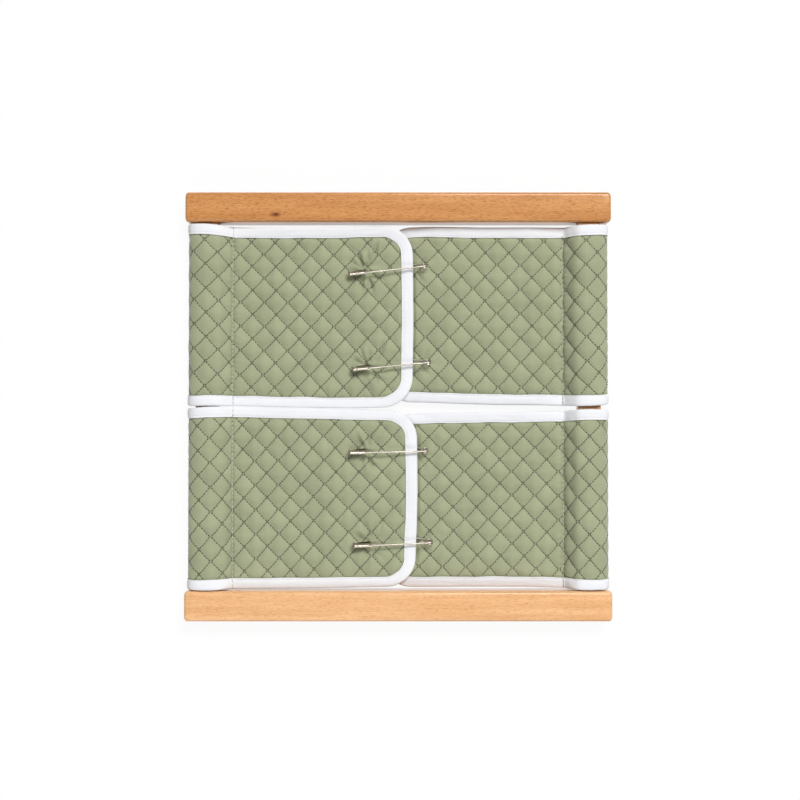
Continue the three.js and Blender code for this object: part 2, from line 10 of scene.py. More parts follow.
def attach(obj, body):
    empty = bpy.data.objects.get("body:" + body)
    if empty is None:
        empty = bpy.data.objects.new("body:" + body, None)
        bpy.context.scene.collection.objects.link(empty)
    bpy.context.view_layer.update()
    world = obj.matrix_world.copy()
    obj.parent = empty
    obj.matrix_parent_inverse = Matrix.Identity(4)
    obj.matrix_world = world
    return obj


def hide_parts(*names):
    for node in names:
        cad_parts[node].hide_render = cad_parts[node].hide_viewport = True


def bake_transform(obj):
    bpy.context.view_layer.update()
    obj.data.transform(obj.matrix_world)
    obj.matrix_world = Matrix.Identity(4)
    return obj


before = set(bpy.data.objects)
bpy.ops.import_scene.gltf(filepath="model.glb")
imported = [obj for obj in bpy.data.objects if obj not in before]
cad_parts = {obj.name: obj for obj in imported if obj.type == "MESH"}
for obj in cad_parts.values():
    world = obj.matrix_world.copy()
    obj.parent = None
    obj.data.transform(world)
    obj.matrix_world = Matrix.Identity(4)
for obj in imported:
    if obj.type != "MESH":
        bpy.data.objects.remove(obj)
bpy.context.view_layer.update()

bl_info = {
    "name": "Safety pin dressing frame",
    "version": (1, 0, 0),
    "blender": (4, 5, 0),
    "location": "3D View > Sidebar > Dressing frame",
    "description": "Builds the quilted flaps, bias tape, stitching, pins and beech of a dressing frame",
    "category": "Add Mesh",
}

MM = 0.001

# The sheets' places, in millimetres, as the model has them: the bar seam, the cloth, the
# folded tape, the free corners, and by side the height of the sheet over the ground, its
# length across and its gap to the next row
SEAM_X = 119.0
SHEET = 1.2
STACK = 2.8
STITCH_DEPTH = 0.4
TAPE_HALF = 1.25
TAPE_WIDTH, TAPE_NARROW = 8.4, 7.5
CORNER = 20.0
BASE = {-1: 9.8, 1: 7.0}
HEIGHT = {-1: 129.6, 1: 127.4}
ROW_ROOM = 131.75
ROW_GAP = {-1: 0.9, 1: 1.6}
GROUND = 0.02

# The cloth's own edge lies inside the tape's.
CLOTH_STEP, QUICK_CLOTH_STEP = 0.84, 1.7
TAPE_STEP, SLEEVE_TAPE_STEP, QUICK_TAPE_STEP = 1.1, 1.0, 2.0
CLOTH_INSET = 0.65

# A pin's wire, coil, arms and pressed head, the cloth's height under its coil and its head,
# and how it leans and pitches on it, as in the model. HEAD_LOW and HEAD_SIDE are how far
# the head reaches below the coil's axis and to each side of the wire's.
WIRE, COIL, COIL_TURN_SHARE, ARM_GAP, TIP = 0.58, 1.95, 0.83, 0.3, 0.08
BACK, NEEDLE, POINT, BOW = 54.4, 52.0, 7.0, 4.6
HEAD, HEAD_DEPTH, HEAD_SHEET, HEAD_ROOM, HEAD_MOUTH, HEAD_NOSE = 13.2, 5.3, 0.35, 0.2, 1.6, 1.5
HEAD_BULGE, HEAD_FLARE, HEAD_FLARE_SHARE, HEAD_PLUG_SHARE = 0.12, 1.6, 0.07, 0.86
UNDER_COIL, UNDER_HEAD = 9.3, 12.1
LEAN = math.radians(35)
COIL_Z = UNDER_COIL + (COIL + WIRE) * math.cos(LEAN) + (ARM_GAP / 2 + 2 * WIRE) * math.sin(LEAN)
HEAD_LOW = HEAD_DEPTH - COIL - WIRE - HEAD_ROOM - HEAD_SHEET
HEAD_SIDE = WIRE + HEAD_ROOM + HEAD_SHEET
HEAD_Z = UNDER_HEAD + HEAD_LOW * math.cos(LEAN) + HEAD_SIDE * math.sin(LEAN)
PITCH = math.atan2(HEAD_Z - COIL_Z, BACK - HEAD)

# The rails and the holes of their screws, as in the model
RAIL_LENGTH, RAIL_WIDTH, RAIL_HEIGHT, RAIL_ROUND, RAIL_Y = 305.0, 21.5, 19.0, 2.6, 142.5
SCREW_X, SCREW_HEAD, SCREW_DEPTH, SCREW_HOLE, SCREW_ROOM = 137.0, 7.4, 2.6, 1.9, 0.15

# Each sheet's edges as (along the cloth, across) pairs, in millimetres. Along the cloth
# is 0 on the frame's middle line and grows more negative towards and round the bar.
# "quilt" gives the place of a quilting crossing from its number along, a, and across, b,
# as the factors of 1, a, b, a squared, b squared and a times b, first along, then across.
# "curl" is how far the top and bottom edges rise, and "loose" how far the turns of one
# zigzag of the quilting stop short of the other's.
PANELS = (
    {"name": "upper_left", "side": -1, "row": 1, "reach": 10.8,
     "top": ((-190, 130.8), (-152, 130.6), (-140, 130.5), (-128, 129.6), (-118, 129.0),
             (-100, 128.5), (-60, 128.4), (-38, 128.8), (-20, 129.3), (11, 129.3)),
     "low": ((-190, 1.2), (-152, -1.2), (-140, 0.0), (-116, 0.1), (-90, -0.6),
             (-55, -1.2), (-30, -1.5), (-10, -0.9), (11, 0.6)),
     "free": ((0, 10.0), (20, 10.4), (60, 11.0), (100, 10.7), (130, 10.2)),
     "curl": (2.6, 0.0), "loose_row": 0, "loose": 0.9,
     "quilt": ((-79.495, 16.785, 0.17, -0.098, -0.108, 0.035),
               (57.334, -0.108, 17.364, 0.055, -0.027, -0.037))},
    {"name": "upper_right", "side": 1, "row": 1, "reach": 10.8,
     "top": ((-190, 130.4), (-152, 130.0), (-140, 129.8), (-120, 129.2), (-100, 129.2),
             (-60, 129.2), (-35, 129.6), (-20, 129.8), (11, 129.0)),
     "low": ((-190, 1.2), (-152, -1.2), (-140, -0.6), (-124, 0.2), (-100, 0.8),
             (-70, 1.0), (-45, 1.7), (-20, 2.7), (11, 3.2)),
     "free": ((0, 10.8), (60, 10.8), (130, 10.8)),
     "curl": (1.4, -2.6), "loose_row": 0, "loose": 1.3,
     "quilt": ((-88.118, 16.895, 0.078, 0.055, -0.07, -0.032),
               (67.099, 0.154, 17.595, 0.023, -0.05, 0.065))},
    {"name": "lower_left", "side": -1, "row": -1, "reach": 13.7,
     "top": ((-190, -1.3), (-152, -1.5), (-140, -0.3), (-116, -0.25), (-90, -1.1),
             (-55, -1.8), (-30, -2.3), (-10, -2.8), (14, -3.2)),
     "low": ((-190, -130.8), (-152, -131.2), (-140, -131.3), (-128, -131.0), (-100, -130.7),
             (-60, -130.4), (-30, -130.0), (14, -129.0)),
     "free": ((-131, 11.6), (-110, 12.4), (-85, 13.4), (-60, 13.9), (-30, 13.7), (0, 12.9)),
     "curl": (0.0, 0.0), "loose_row": 1, "loose": 1.2,
     "quilt": ((-77.603, 16.637, -0.292, -0.011, -0.036, -0.002),
               (-64.909, 0.332, 17.394, -0.028, -0.004, -0.056))},
    {"name": "lower_right", "side": 1, "row": -1, "reach": 10.8,
     "top": ((-190, -1.4), (-152, -2.1), (-140, -1.9), (-120, -3.3), (-90, -4.1),
             (-60, -4.4), (-30, -4.8), (11, -6.0)),
     "low": ((-190, -130.4), (-152, -131.2), (-140, -131.2), (-120, -130.6), (-90, -130.0),
             (-50, -129.9), (-20, -130.2), (11, -130.2)),
     "free": ((-131, 10.8), (-60, 10.8), (0, 10.8)),
     "curl": (1.8, -1.6), "loose_row": 0, "loose": 1.2,
     "quilt": ((-81.648, 16.85, 0.093, 0.029, -0.039, 0.031),
               (-63.918, 0.138, 17.281, -0.03, -0.048, -0.085))},
)

# Folds from where a needle comes up: the direction in degrees from the pin's own, and the
# length and depth in millimetres
FOLDS = ((64, 19, 2.3), (97, 18, 1.6), (124, 26, 1.8), (-62, 16, 1.6), (-105, 18, 1.8), (-146, 17, 1.0))

# Each pin's row, its coil's place in plan in millimetres, its heading across the flaps in
# degrees and how hard it pulls at the cloth
PINS = {
    "a": {"row": "upper", "at": (18.6, 100.9), "heading": 6.0, "pull": 1.1},
    "b": {"row": "upper", "at": (21.2, 31.6), "heading": 4.9, "pull": 0.6},
    "c": {"row": "lower", "at": (19.2, -31.8), "heading": 0.7, "pull": 0.45},
    "d": {"row": "lower", "at": (22.4, -97.3), "heading": 1.6, "pull": 0.5},
}


# Helpers


def linear(hex_colour):
    """The linear RGBA of an sRGB hex colour: each channel is divided by 12.92 where dark, and else
    raised to 2.4."""
    text = hex_colour.lstrip("#")
    channels = np.array([int(text[i:i + 2], 16) / 255 for i in (0, 2, 4)])
    low = channels / 12.92
    high = ((channels + 0.055) / 1.055) ** 2.4
    return (*np.where(channels <= 0.04045, low, high), 1.0)


def shade(colour, share):
    """A linear colour times a share, or times one share for each of its channels."""
    return (*(np.array(colour[:3]) * share), 1.0)


def smooth(low, high, value):
    """0 below low, 1 above high, and an S curve of 3t squared less 2t cubed between."""
    t = np.clip((value - low) / (high - low), 0, 1)
    return t * t * (3 - 2 * t)


def ripple(x, y, seed, wave):
    """A soft unevenness from about -1 to 1: a sum of six plane sine waves of seeded directions,
    each about wave long."""
    spin = np.random.default_rng(seed)
    total = np.zeros(np.broadcast(x, y).shape)
    for _ in range(6):
        angle = spin.uniform(0, 2 * math.pi)
        length = wave * spin.uniform(0.7, 1.5)
        shift = spin.uniform(0, 2 * math.pi)
        total += np.sin(2 * math.pi * (x * math.cos(angle) + y * math.sin(angle)) / length + shift)
    return total / 3.2


def new_object(name, points, faces, material, uv=None, quilt=None, soft=True):
    """A mesh object from arrays of points in millimetres and of faces, with UVs in metres of cloth
    per point."""
    mesh = bpy.data.meshes.new(name)
    if isinstance(faces, np.ndarray):
        faces = [faces]
    mesh.from_pydata((np.asarray(points, float) * MM).tolist(), [], [f for a in faces for f in a.tolist()])
    mesh.update()
    if uv is not None:
        layer = mesh.uv_layers.new(name="cloth")
        corners = np.empty(len(mesh.loops), np.int32)
        mesh.loops.foreach_get("vertex_index", corners)
        layer.data.foreach_set("uv", (np.asarray(uv, float)[corners] * MM).ravel().astype(np.float32))
    # The rise attribute drives the cloth material's painted shade in the creases.
    if quilt is not None:
        attribute = mesh.attributes.new("rise", "FLOAT", "POINT")
        attribute.data.foreach_set("value", np.asarray(quilt, np.float32))
    mesh.polygons.foreach_set("use_smooth", [soft] * len(mesh.polygons))
    mesh.materials.append(bpy.data.materials[material])
    thing = bpy.data.objects.new(name, mesh)
    bpy.context.scene.collection.objects.link(thing)
    return thing


def quads(rows, columns, wrap_rows=False, wrap_columns=False):
    """The four-cornered faces of a grid of rows by columns points."""
    r = np.arange(rows if wrap_rows else rows - 1)
    c = np.arange(columns if wrap_columns else columns - 1)
    r, c = np.meshgrid(r, c, indexing="ij")
    right, down = (c + 1) % columns, (r + 1) % rows
    corners = (r * columns + c, r * columns + right, down * columns + right, down * columns + c)
    return np.stack(corners, -1).reshape(-1, 4)


def end_faces(rows, columns):
    """The two faces that close a grid of rows of points round a tube, at its first and its last row."""
    last = (rows - 1) * columns
    return np.array([[*range(columns)][::-1], [last + k for k in range(columns)]])


def grid_along(along, section):
    """Points that have each row's place along, and its own section of two coordinates."""
    return np.concatenate([np.broadcast_to(along[:, None, None], (*section.shape[:2], 1)), section], -1)


def running_length(points):
    """The length of a line of points from its start to each of them."""
    return np.concatenate([[0], np.cumsum(np.linalg.norm(np.diff(points, axis=0), axis=1))])


def bell(distance, width):
    """A Gaussian bell: e to minus the square of distance over width, which is 1 in the middle."""
    return np.exp(-(distance / width) ** 2)


# Shape of the quilted cloth

# The quilting's stitch lines, as a share of the sine that rounds them, and the power that
# makes its diamonds full
LINE_SOFTNESS, PUFF_POWER = 0.04, 0.68

# Beside a pin: the quilting's height there, how far that reaches and where the full height
# starts again, and the ridge over the needle's last stretch before the head
PRESSED_PUFF, PRESSED_TO, FREE_FROM = 0.8, 4.0, 14.0
RIDGE_HEIGHT, RIDGE_ASIDE, RIDGE_WIDTH = 2.7, 1.9, 1.5
RIDGE_RISE, RIDGE_FALL = (31.0, 41.0), (41.8, 44.8)

# Where a needle pulls at a left and at a right flap, along the pin, and how strongly, and
# the creases, the dent and the folds that it makes there
PULL_AT = {-1: 41.5, 1: 6.0}
PULL = {-1: 1.0, 1: 0.7}
CREASES, CREASE_DEPTH, CREASE_REACH, DENT_DEPTH, DENT_WIDTH = 7, 2.1, 7.5, 0.6, 3.4
FOLD_WIDTH, FOLD_RIDGE_OFF, FOLD_RIDGE_WIDTH, FOLD_RIDGE_SHARE = 1.4, 3.0, 2.0, 0.55

# The bar seam's dip and its gathers, and the gathers beside the tape
SEAM_DIP, SEAM_DIP_WIDTH, SEAM_PULL, SEAM_PULL_WIDTH, SEAM_GATHER = 0.6, 1.2, 0.9, 4.0, 4.4
HEM_PULL, HEM_PULL_WIDTH, HEM_GATHER, HEM_DIP, HEM_DIP_WIDTH = 0.35, 2.4, 5.2, 0.4, 0.8

# Along the cloth: where a flap's slow waves start past the seam and where they end before
# the pins, and where a right flap comes under its partner and is thinned and pressed down
WAVES_RISE, WAVES_FALL = (-SEAM_X + 2, -SEAM_X + 30), (-62.0, -40.0)
UNDER_PARTNER, PRESSED_DOWN = (-30.0, -16.0), (-19.0, -8.0)
THINNED, PRESSED_DEPTH = 0.9, 0.7

# The groove in a right flap beside its partner's free edge, and the curl of the long edges
GROOVE_DEPTH, GROOVE_WIDTH, CURL_REACH = 1.8, 1.3, 18.0

# The bar as the cloth goes round it: its outer side from the seam, and its rounded edges
# as a share of half its height
BAR_OUTSIDE, BAR_LOW, BAR_HIGH, BAR_CORNER_SHARE = 31.3, 1.6, 17.5, 0.28

# The length of cloth round the bar over which its end edges turn straight, how far from its
# end its tail starts and ends to follow the seam's edge, and how much narrower it is there
EDGES_LAST = -190.0
EDGES_TURN, TAIL_TURN, TAIL_NARROWER = (5.0, 60.0), (26.0, 8.0), 0.6


def crossing(panel, a, b):
    """The place of the quilting point numbered (a, b): whole and half numbers are crossings, and
    each of its two places is a quadratic in a and b."""
    terms = (np.ones_like(a), a, b, a * a, b * b, a * b)
    return tuple(sum(factor * term for factor, term in zip(factors, terms)) for factors in panel["quilt"])


def numbers(panel, x, y):
    """The quilting numbers (a, b) of a place, the other way round, in four steps of Newton's method."""
    (_, xa, xb, *_), (_, ya, yb, *_) = panel["quilt"]
    size = xa * yb - xb * ya
    a, b = np.zeros(np.broadcast(x, y).shape), np.zeros(np.broadcast(x, y).shape)
    for _ in range(4):
        px, py = crossing(panel, a, b)
        a = a + ((x - px) * yb - (y - py) * xb) / size
        b = b + ((y - py) * xa - (x - px) * ya) / size
    return a, b


def quilting(panel, x, y):
    """Puff of the quilting from 0 on the stitch lines to 1 in a diamond's middle: the product of
    the sines of the two diagonal numbers, to the power 0.68, with the lines rounded over a fifth
    of a millimetre."""
    a, b = numbers(panel, x, y)
    one, two = np.abs(np.sin(math.pi * (a + b))), np.abs(np.sin(math.pi * (a - b)))
    soft = LINE_SOFTNESS
    one, two = np.sqrt(one * one + soft * soft) - soft, np.sqrt(two * two + soft * soft) - soft
    return (one * two) ** PUFF_POWER


def pin_frame(pin, panel, x, y):
    """Distances along a pin from its coil towards its head, and aside towards the top, of places on
    a flap."""
    cx, cy = pin["at"]
    lean = math.radians(pin["heading"])
    drawn_x, y = drawn(panel, x, y - centre_y(panel))
    plan_x = -panel["side"] * drawn_x
    along = -(plan_x - cx) * math.cos(lean) - (y - cy) * math.sin(lean)
    return along, -(plan_x - cx) * math.sin(lean) + (y - cy) * math.cos(lean)


def row_pins(panel):
    """The pins that go through a panel."""
    return [pin for pin in PINS.values() if (pin["row"] == "upper") == (panel["row"] > 0)]


def dimples(panel, x, y):
    """Dents that the pins pull into a flap. Where a needle goes in, creases fan out: a cosine of
    seven times the angle about that point, which fades with distance, with a small round dent in
    the middle."""
    depth = np.zeros(np.broadcast(x, y).shape)
    strength = PULL[panel["side"]]
    for k, pin in enumerate(row_pins(panel)):
        along, aside = pin_frame(pin, panel, x, y)
        past = along - PULL_AT[panel["side"]]
        away, angle = np.hypot(past, aside), np.arctan2(aside, past)
        lobes = (0.5 + 0.5 * np.cos(CREASES * (angle + 0.86 + 0.22 * k) + 0.1 * away)) ** 1.6
        uneven = 0.8 + 0.2 * np.sin(2 * angle + k)
        depth += strength * CREASE_DEPTH * lobes * bell(away - CREASE_REACH, CREASE_REACH) * uneven
        depth += strength * DENT_DEPTH * bell(away, DENT_WIDTH)
    return depth


def pin_room(panel, x, y):
    """How high the quilting may stand, pressed flat near a pin and at its full height further off,
    and the ridge over the needle where it comes up beside its head."""
    gap = np.full(np.broadcast(x, y).shape, 99.0)
    peak = np.zeros(gap.shape)
    for pin in row_pins(panel):
        along, aside = pin_frame(pin, panel, x, y)
        gap = np.minimum(gap, np.hypot(aside, along - np.clip(along, -3, 56)))
        if panel["side"] < 0:
            ridge = smooth(*RIDGE_RISE, along) * (1 - smooth(*RIDGE_FALL, along))
            peak += RIDGE_HEIGHT * ridge * bell(aside - RIDGE_ASIDE, RIDGE_WIDTH)
    full = bpy.context.scene.frame_sizes.puff / MM - STITCH_DEPTH
    room = PRESSED_PUFF + (full - PRESSED_PUFF) * smooth(PRESSED_TO, FREE_FROM, gap)
    if panel["side"] > 0:
        room = room - THINNED * smooth(*UNDER_PARTNER, x)
    return np.maximum(room, 0.7), peak


def edge_distance(panel, x, y, reach=None):
    """Distance in from the nearest hemmed edge of a sheet whose two free corners are quarter circles."""
    half = HEIGHT[panel["side"]] / 2
    reach = panel["reach"] if reach is None else reach
    side_gap, end_gap = reach - x, half - np.abs(y)
    corner = CORNER - np.hypot(np.maximum(CORNER - side_gap, 0), np.maximum(CORNER - end_gap, 0))
    return np.where((side_gap < CORNER) & (end_gap < CORNER), corner, np.minimum(side_gap, end_gap))


def tape_width(panel, x):
    """Visible width of the tape: wider round the free edge, where it is drawn flat, than along the
    long edges."""
    return TAPE_NARROW + (TAPE_WIDTH - TAPE_NARROW) * smooth(panel["reach"] - 22, panel["reach"] - 9, x)


def cloth_rise(panel, x, y, front=True):
    """Height of the cloth's face over its middle sheet, and the quilting there, lowered round the pins'
    dents; the cloth's material turns low values into painted shade. x runs along the cloth and y
    across it from its middle. The puff fades under the tape, at the bar seam and round the bar, with
    small gathers beside the tape and the seam."""
    inside = edge_distance(panel, x, y)
    height = centre_y(panel) + y
    past = inside - tape_width(panel, x)
    free = smooth(-0.6, 2.6, past)
    seam = np.abs(x + SEAM_X)
    quilt = quilting(panel, *drawn(panel, x, y))
    gathers = 0.5 + 0.5 * np.sin(2 * math.pi * height / SEAM_GATHER + 2 * ripple(x, height, 5, 30))
    seam_dip = bell(seam, SEAM_DIP_WIDTH)
    seam_pull = bell(seam, SEAM_PULL_WIDTH) * gathers
    room, peak = pin_room(panel, x, height)
    over_bar = smooth(-SEAM_X - 2, -SEAM_X - 10, x)
    round_bar = smooth(-SEAM_X - 18, -SEAM_X - 29, x)
    tight = 1 - 0.25 * over_bar - 0.5 * round_bar
    puff = (room + STITCH_DEPTH) * quilt * (1 - 0.55 * seam_dip) * tight - SEAM_PULL * seam_pull * quilt
    hem_wave = 2 * math.pi * (x + 0.7 * height) / HEM_GATHER + 3 * ripple(x, height, 9, 35)
    hem_gathers = 0.5 + 0.5 * np.sin(hem_wave)
    hem = bell(past - 2, HEM_PULL_WIDTH) * free
    puff = puff - HEM_PULL * hem * hem_gathers * quilt
    uneven = 0.10 * ripple(x, height, 21, 24) * quilt
    if not front:
        return SHEET / 2 + 0.2 * free * (puff + uneven), quilt * free
    base = SHEET / 2 - STITCH_DEPTH * free
    dent = dimples(panel, x, height)
    face = base + free * (puff + uneven + peak - dent * (0.5 + 0.5 * quilt) / (1 + 2 * peak))
    face = face - HEM_DIP * bell(past - 0.2, HEM_DIP_WIDTH)
    face = face - SEAM_DIP * seam_dip * (1 - 0.5 * gathers) * np.where(inside > 1, 1, 0)
    # Round the pins' dents the quilting value is lowered, which the material shows as painted shade.
    shaded = 0.95 * smooth(0.5, 1.7, dent / (1 + 2 * peak))
    return np.clip(face, -0.25, SHEET / 2 + room + peak), quilt * free * (1 - shaded)


def centre_y(panel):
    """The middle of a sheet's rows across, as the model has it."""
    side = panel["side"]
    return panel["row"] * (ROW_ROOM - ROW_GAP[side] - HEIGHT[side] / 2)


def drawn(panel, x, y):
    """The place in plan of a cloth point (x, y): it slides across so that the sheet's ends follow
    their measured edges, and along so that the free edge does, in step with its distance from them."""
    half = HEIGHT[panel["side"]] / 2
    top = np.interp(x, *zip(*panel["top"]))
    low = np.interp(x, *zip(*panel["low"]))
    share = (y + half) / (2 * half)
    wavy = low + (top - low) * share
    free = np.interp(wavy, *zip(*panel["free"]))
    along = x + (free - panel["reach"]) * smooth(-SEAM_X + 20, panel["reach"], x)
    return along, wavy


def folds(panel, x, height):
    """Folds that a needle pulls into a left flap: from each needle's entry, narrow valleys with a
    low ridge on either side, each a Gaussian bell across its own direction, which wavers and fades
    at both ends. They leave the needle's own ridge clear."""
    total = np.zeros(np.broadcast(x, height).shape)
    for k, pin in enumerate(row_pins(panel) if panel["side"] < 0 else ()):
        along, aside = pin_frame(pin, panel, x, height)
        on_ridge = bell(aside - 2.1, 2.4) * smooth(26, 31, along) * (1 - smooth(41, 44, along))
        past = along - PULL_AT[-1]
        for j, (way, reach, depth) in enumerate(FOLDS):
            turn = math.radians(way + 7 * math.sin(2.1 * k + 1.7 * j + panel["row"]))
            far = past * math.cos(turn) + aside * math.sin(turn)
            off = aside * math.cos(turn) - past * math.sin(turn) + 0.6 * np.sin(far / 4 + j)
            span = smooth(2.5, 7, far) * (1 - smooth(reach - 9, reach, far))
            ridges = sum(FOLD_RIDGE_SHARE * bell(off + way_off, FOLD_RIDGE_WIDTH)
                         for way_off in (-FOLD_RIDGE_OFF, FOLD_RIDGE_OFF))
            total += (1 - on_ridge) * pin["pull"] * depth * span * (ridges - bell(off, FOLD_WIDTH))
    return total


def flap_sag(panel, x, y):
    """A flap's slow waves off its flat plane, level at the seam, at the pins and where it lies on
    its partner, with its long edges curled up or drooping by the square of the way to the edge. A
    right flap is pressed down beneath its partner, in a groove beside the partner's free edge."""
    height = centre_y(panel) + y
    half = HEIGHT[panel["side"]] / 2
    hold = smooth(*WAVES_RISE, x)
    hold_free = hold * (1 - smooth(*WAVES_FALL, x))
    curl_up, curl_low = panel["curl"]
    over = smooth(*UNDER_PARTNER, x) if panel["side"] > 0 else 0
    near_top = np.clip((y - half + CURL_REACH) / CURL_REACH, 0, 1)
    near_low = np.clip((CURL_REACH - half - y) / CURL_REACH, 0, 1)
    curl = curl_up * near_top ** 2 + curl_low * near_low ** 2
    pressed = 0
    if panel["side"] > 0:
        partner = next(p for p in PANELS if p["side"] < 0 and p["row"] == panel["row"])
        edge = np.interp(height, *zip(*partner["free"]))
        straight = 1 - smooth(half - CORNER - 4, half - CORNER + 6, np.abs(y))
        pressed = PRESSED_DEPTH * smooth(*PRESSED_DOWN, x)
        pressed = pressed + GROOVE_DEPTH * straight * bell(-x - edge - 0.1, GROOVE_WIDTH)
    waves = bpy.context.scene.frame_sizes.sag / MM
    waving = waves * hold_free * ripple(x, height, 30 + panel["side"], 95)
    curled = curl * (0.25 + 0.75 * hold) * (1 - over * (np.asarray(curl) > 0))
    return waving - pressed + folds(panel, x, height) + curled


def flap_points(panel, x, y, offset):
    """Places in millimetres of flap points that stand offset over the sheet's middle plane."""
    along, across = drawn(panel, x, y)
    middle = BASE[panel["side"]] + SHEET / 2 + flap_sag(panel, x, y)
    return np.stack([-panel["side"] * along, across, middle + offset], -1)


def sleeve_line(panel):
    """The sheet's middle line round the bar as (out from the seam, up) pairs with its running
    length, from a smooth curve through the model's own points."""
    seam = BASE[panel["side"]] + SHEET / 2
    tail = seam - STACK
    half, middle = (BAR_HIGH - BAR_LOW) / 2, (BAR_HIGH + BAR_LOW) / 2
    inset, turned = half * BAR_CORNER_SHARE, half * (1 - BAR_CORNER_SHARE)
    knots = np.array([
        (0, seam), (1.2, seam + 0.35), (5.07, seam + (BAR_HIGH - seam) * 0.5), (9.75, 16.9),
        (14, 18.0), (18, 18.3), (22, 18.1), (25.8, 17.3),
        (BAR_OUTSIDE - inset, middle + turned), (BAR_OUTSIDE, middle),
        (BAR_OUTSIDE - inset, middle - turned),
        (25.8, BAR_LOW), (18, BAR_LOW), (9.75, 2.05), (5.07, tail + (BAR_LOW - tail) * 0.52),
        (0, tail), (-3.25, tail), (-6.5, tail)])
    return spline(knots, 24)


def spline(knots, steps):
    """A centripetal Catmull-Rom curve through knots, as that many points from each knot to the next
    and their running length."""
    ends = np.vstack([2 * knots[0] - knots[1], knots, 2 * knots[-1] - knots[-2]])
    gaps = np.sqrt(np.linalg.norm(np.diff(ends, axis=0), axis=1))
    time = np.concatenate([[0], np.cumsum(gaps)])
    pieces = []
    for i in range(1, len(ends) - 2):
        t0, t1, t2, t3 = time[i - 1:i + 3]
        p0, p1, p2, p3 = ends[i - 1:i + 3]
        t = np.linspace(t1, t2, steps, endpoint=False)[:, None]
        a1 = (t1 - t) / (t1 - t0) * p0 + (t - t0) / (t1 - t0) * p1
        a2 = (t2 - t) / (t2 - t1) * p1 + (t - t1) / (t2 - t1) * p2
        a3 = (t3 - t) / (t3 - t2) * p2 + (t - t2) / (t3 - t2) * p3
        b1 = (t2 - t) / (t2 - t0) * a1 + (t - t0) / (t2 - t0) * a2
        b2 = (t3 - t) / (t3 - t1) * a2 + (t - t1) / (t3 - t1) * a3
        pieces.append((t2 - t) / (t2 - t1) * b1 + (t - t1) / (t2 - t1) * b2)
    line = np.vstack([*pieces, ends[-2][None]])
    return line, running_length(line)


def sleeve_points(panel, x, y, offset):
    """Places of sleeve points: x falls from the seam with the length of cloth round the bar, and
    offset is outwards, square to the middle line. The cloth is pressed flat where it rests on the
    ground, and its tail follows the seam's own edge, a little narrower."""
    line, run = sleeve_line(panel)
    length = np.clip(-SEAM_X - x, 0, run[-1])
    out, up = np.interp(length, run, line[:, 0]), np.interp(length, run, line[:, 1])
    slope = np.gradient(line, run, axis=0)
    du, dz = np.interp(length, run, slope[:, 0]), np.interp(length, run, slope[:, 1])
    size = np.hypot(du, dz)
    du, dz = du / size, dz / size
    turned = smooth(*EDGES_TURN, length)
    _, across = drawn(panel, np.maximum(x, EDGES_LAST), y)
    across = across * (1 - turned) + (centre_y(panel) + y) * turned
    tail = smooth(*(run[-1] - place for place in TAIL_TURN), length)
    _, at_seam = drawn(panel, -SEAM_X + 0 * x, y * (1 - TAIL_NARROWER / HEIGHT[panel["side"]]))
    across = across * (1 - tail) + at_seam * tail
    u = out - dz * offset
    z = np.maximum(up + du * offset, GROUND)
    return np.stack([panel["side"] * (SEAM_X + u), across, z], -1)


def sheet_grid(panel, xs, ys, place, corners):
    """A closed sheet over a grid: its front, its back and the four thin sides between them. Where
    the free corners are round, a point's share of the way along a corner is multiplied by the root
    of 1 less half the square of its share across, and the other way round. The front's squares are
    split along their lower diagonal, so that the stitch lines stay sharp."""
    x, y = np.meshgrid(xs, ys, indexing="ij")
    if corners:
        half, reach = HEIGHT[panel["side"]] / 2, panel["reach"]
        radius = CORNER - CLOTH_INSET
        cx, cy = reach - CLOTH_INSET - radius, half - CLOTH_INSET - radius
        a = np.clip((x - cx) / radius, 0, 1)
        b = np.clip((np.abs(y) - cy) / radius, 0, 1)
        x = np.where(a > 0, cx + radius * a * np.sqrt(1 - b * b / 2), x)
        y = np.where(b > 0, np.sign(y) * (cy + radius * b * np.sqrt(1 - a * a / 2)), y)
    up, quilt = cloth_rise(panel, x, y)
    down, under = cloth_rise(panel, x, y, front=False)
    front = place(panel, x, y, up)
    back = place(panel, x, y, -down if corners else np.full_like(x, -SHEET / 2))
    n, m = x.shape
    points = np.concatenate([front.reshape(-1, 3), back.reshape(-1, 3)])
    uv = np.stack([x, y + centre_y(panel)], -1).reshape(-1, 2)
    face = quads(n, m)
    rise = up.reshape(-1)
    a, b, c, d = face.T
    falling = rise[a] + rise[c] < rise[b] + rise[d]
    one = np.where(falling[:, None], np.stack([a, b, c], 1), np.stack([a, b, d], 1))
    two = np.where(falling[:, None], np.stack([a, c, d], 1), np.stack([b, c, d], 1))
    front_faces = np.concatenate([one, two])
    back_faces = face[:, ::-1] + n * m
    grid = np.arange(n * m).reshape(n, m)
    loop = np.concatenate([grid[:-1, 0], grid[-1, :-1], grid[:0:-1, -1], grid[0, :0:-1]])
    ahead = np.roll(loop, -1)
    rim = np.stack([loop, ahead, ahead + n * m, loop + n * m], 1)
    faces = [front_faces, back_faces, rim]
    if panel["side"] < 0:
        faces = [f[:, ::-1] for f in faces]
    return points, faces, np.tile(uv, (2, 1)), np.concatenate([quilt.ravel(), under.ravel()])


# Bias tape and stitching

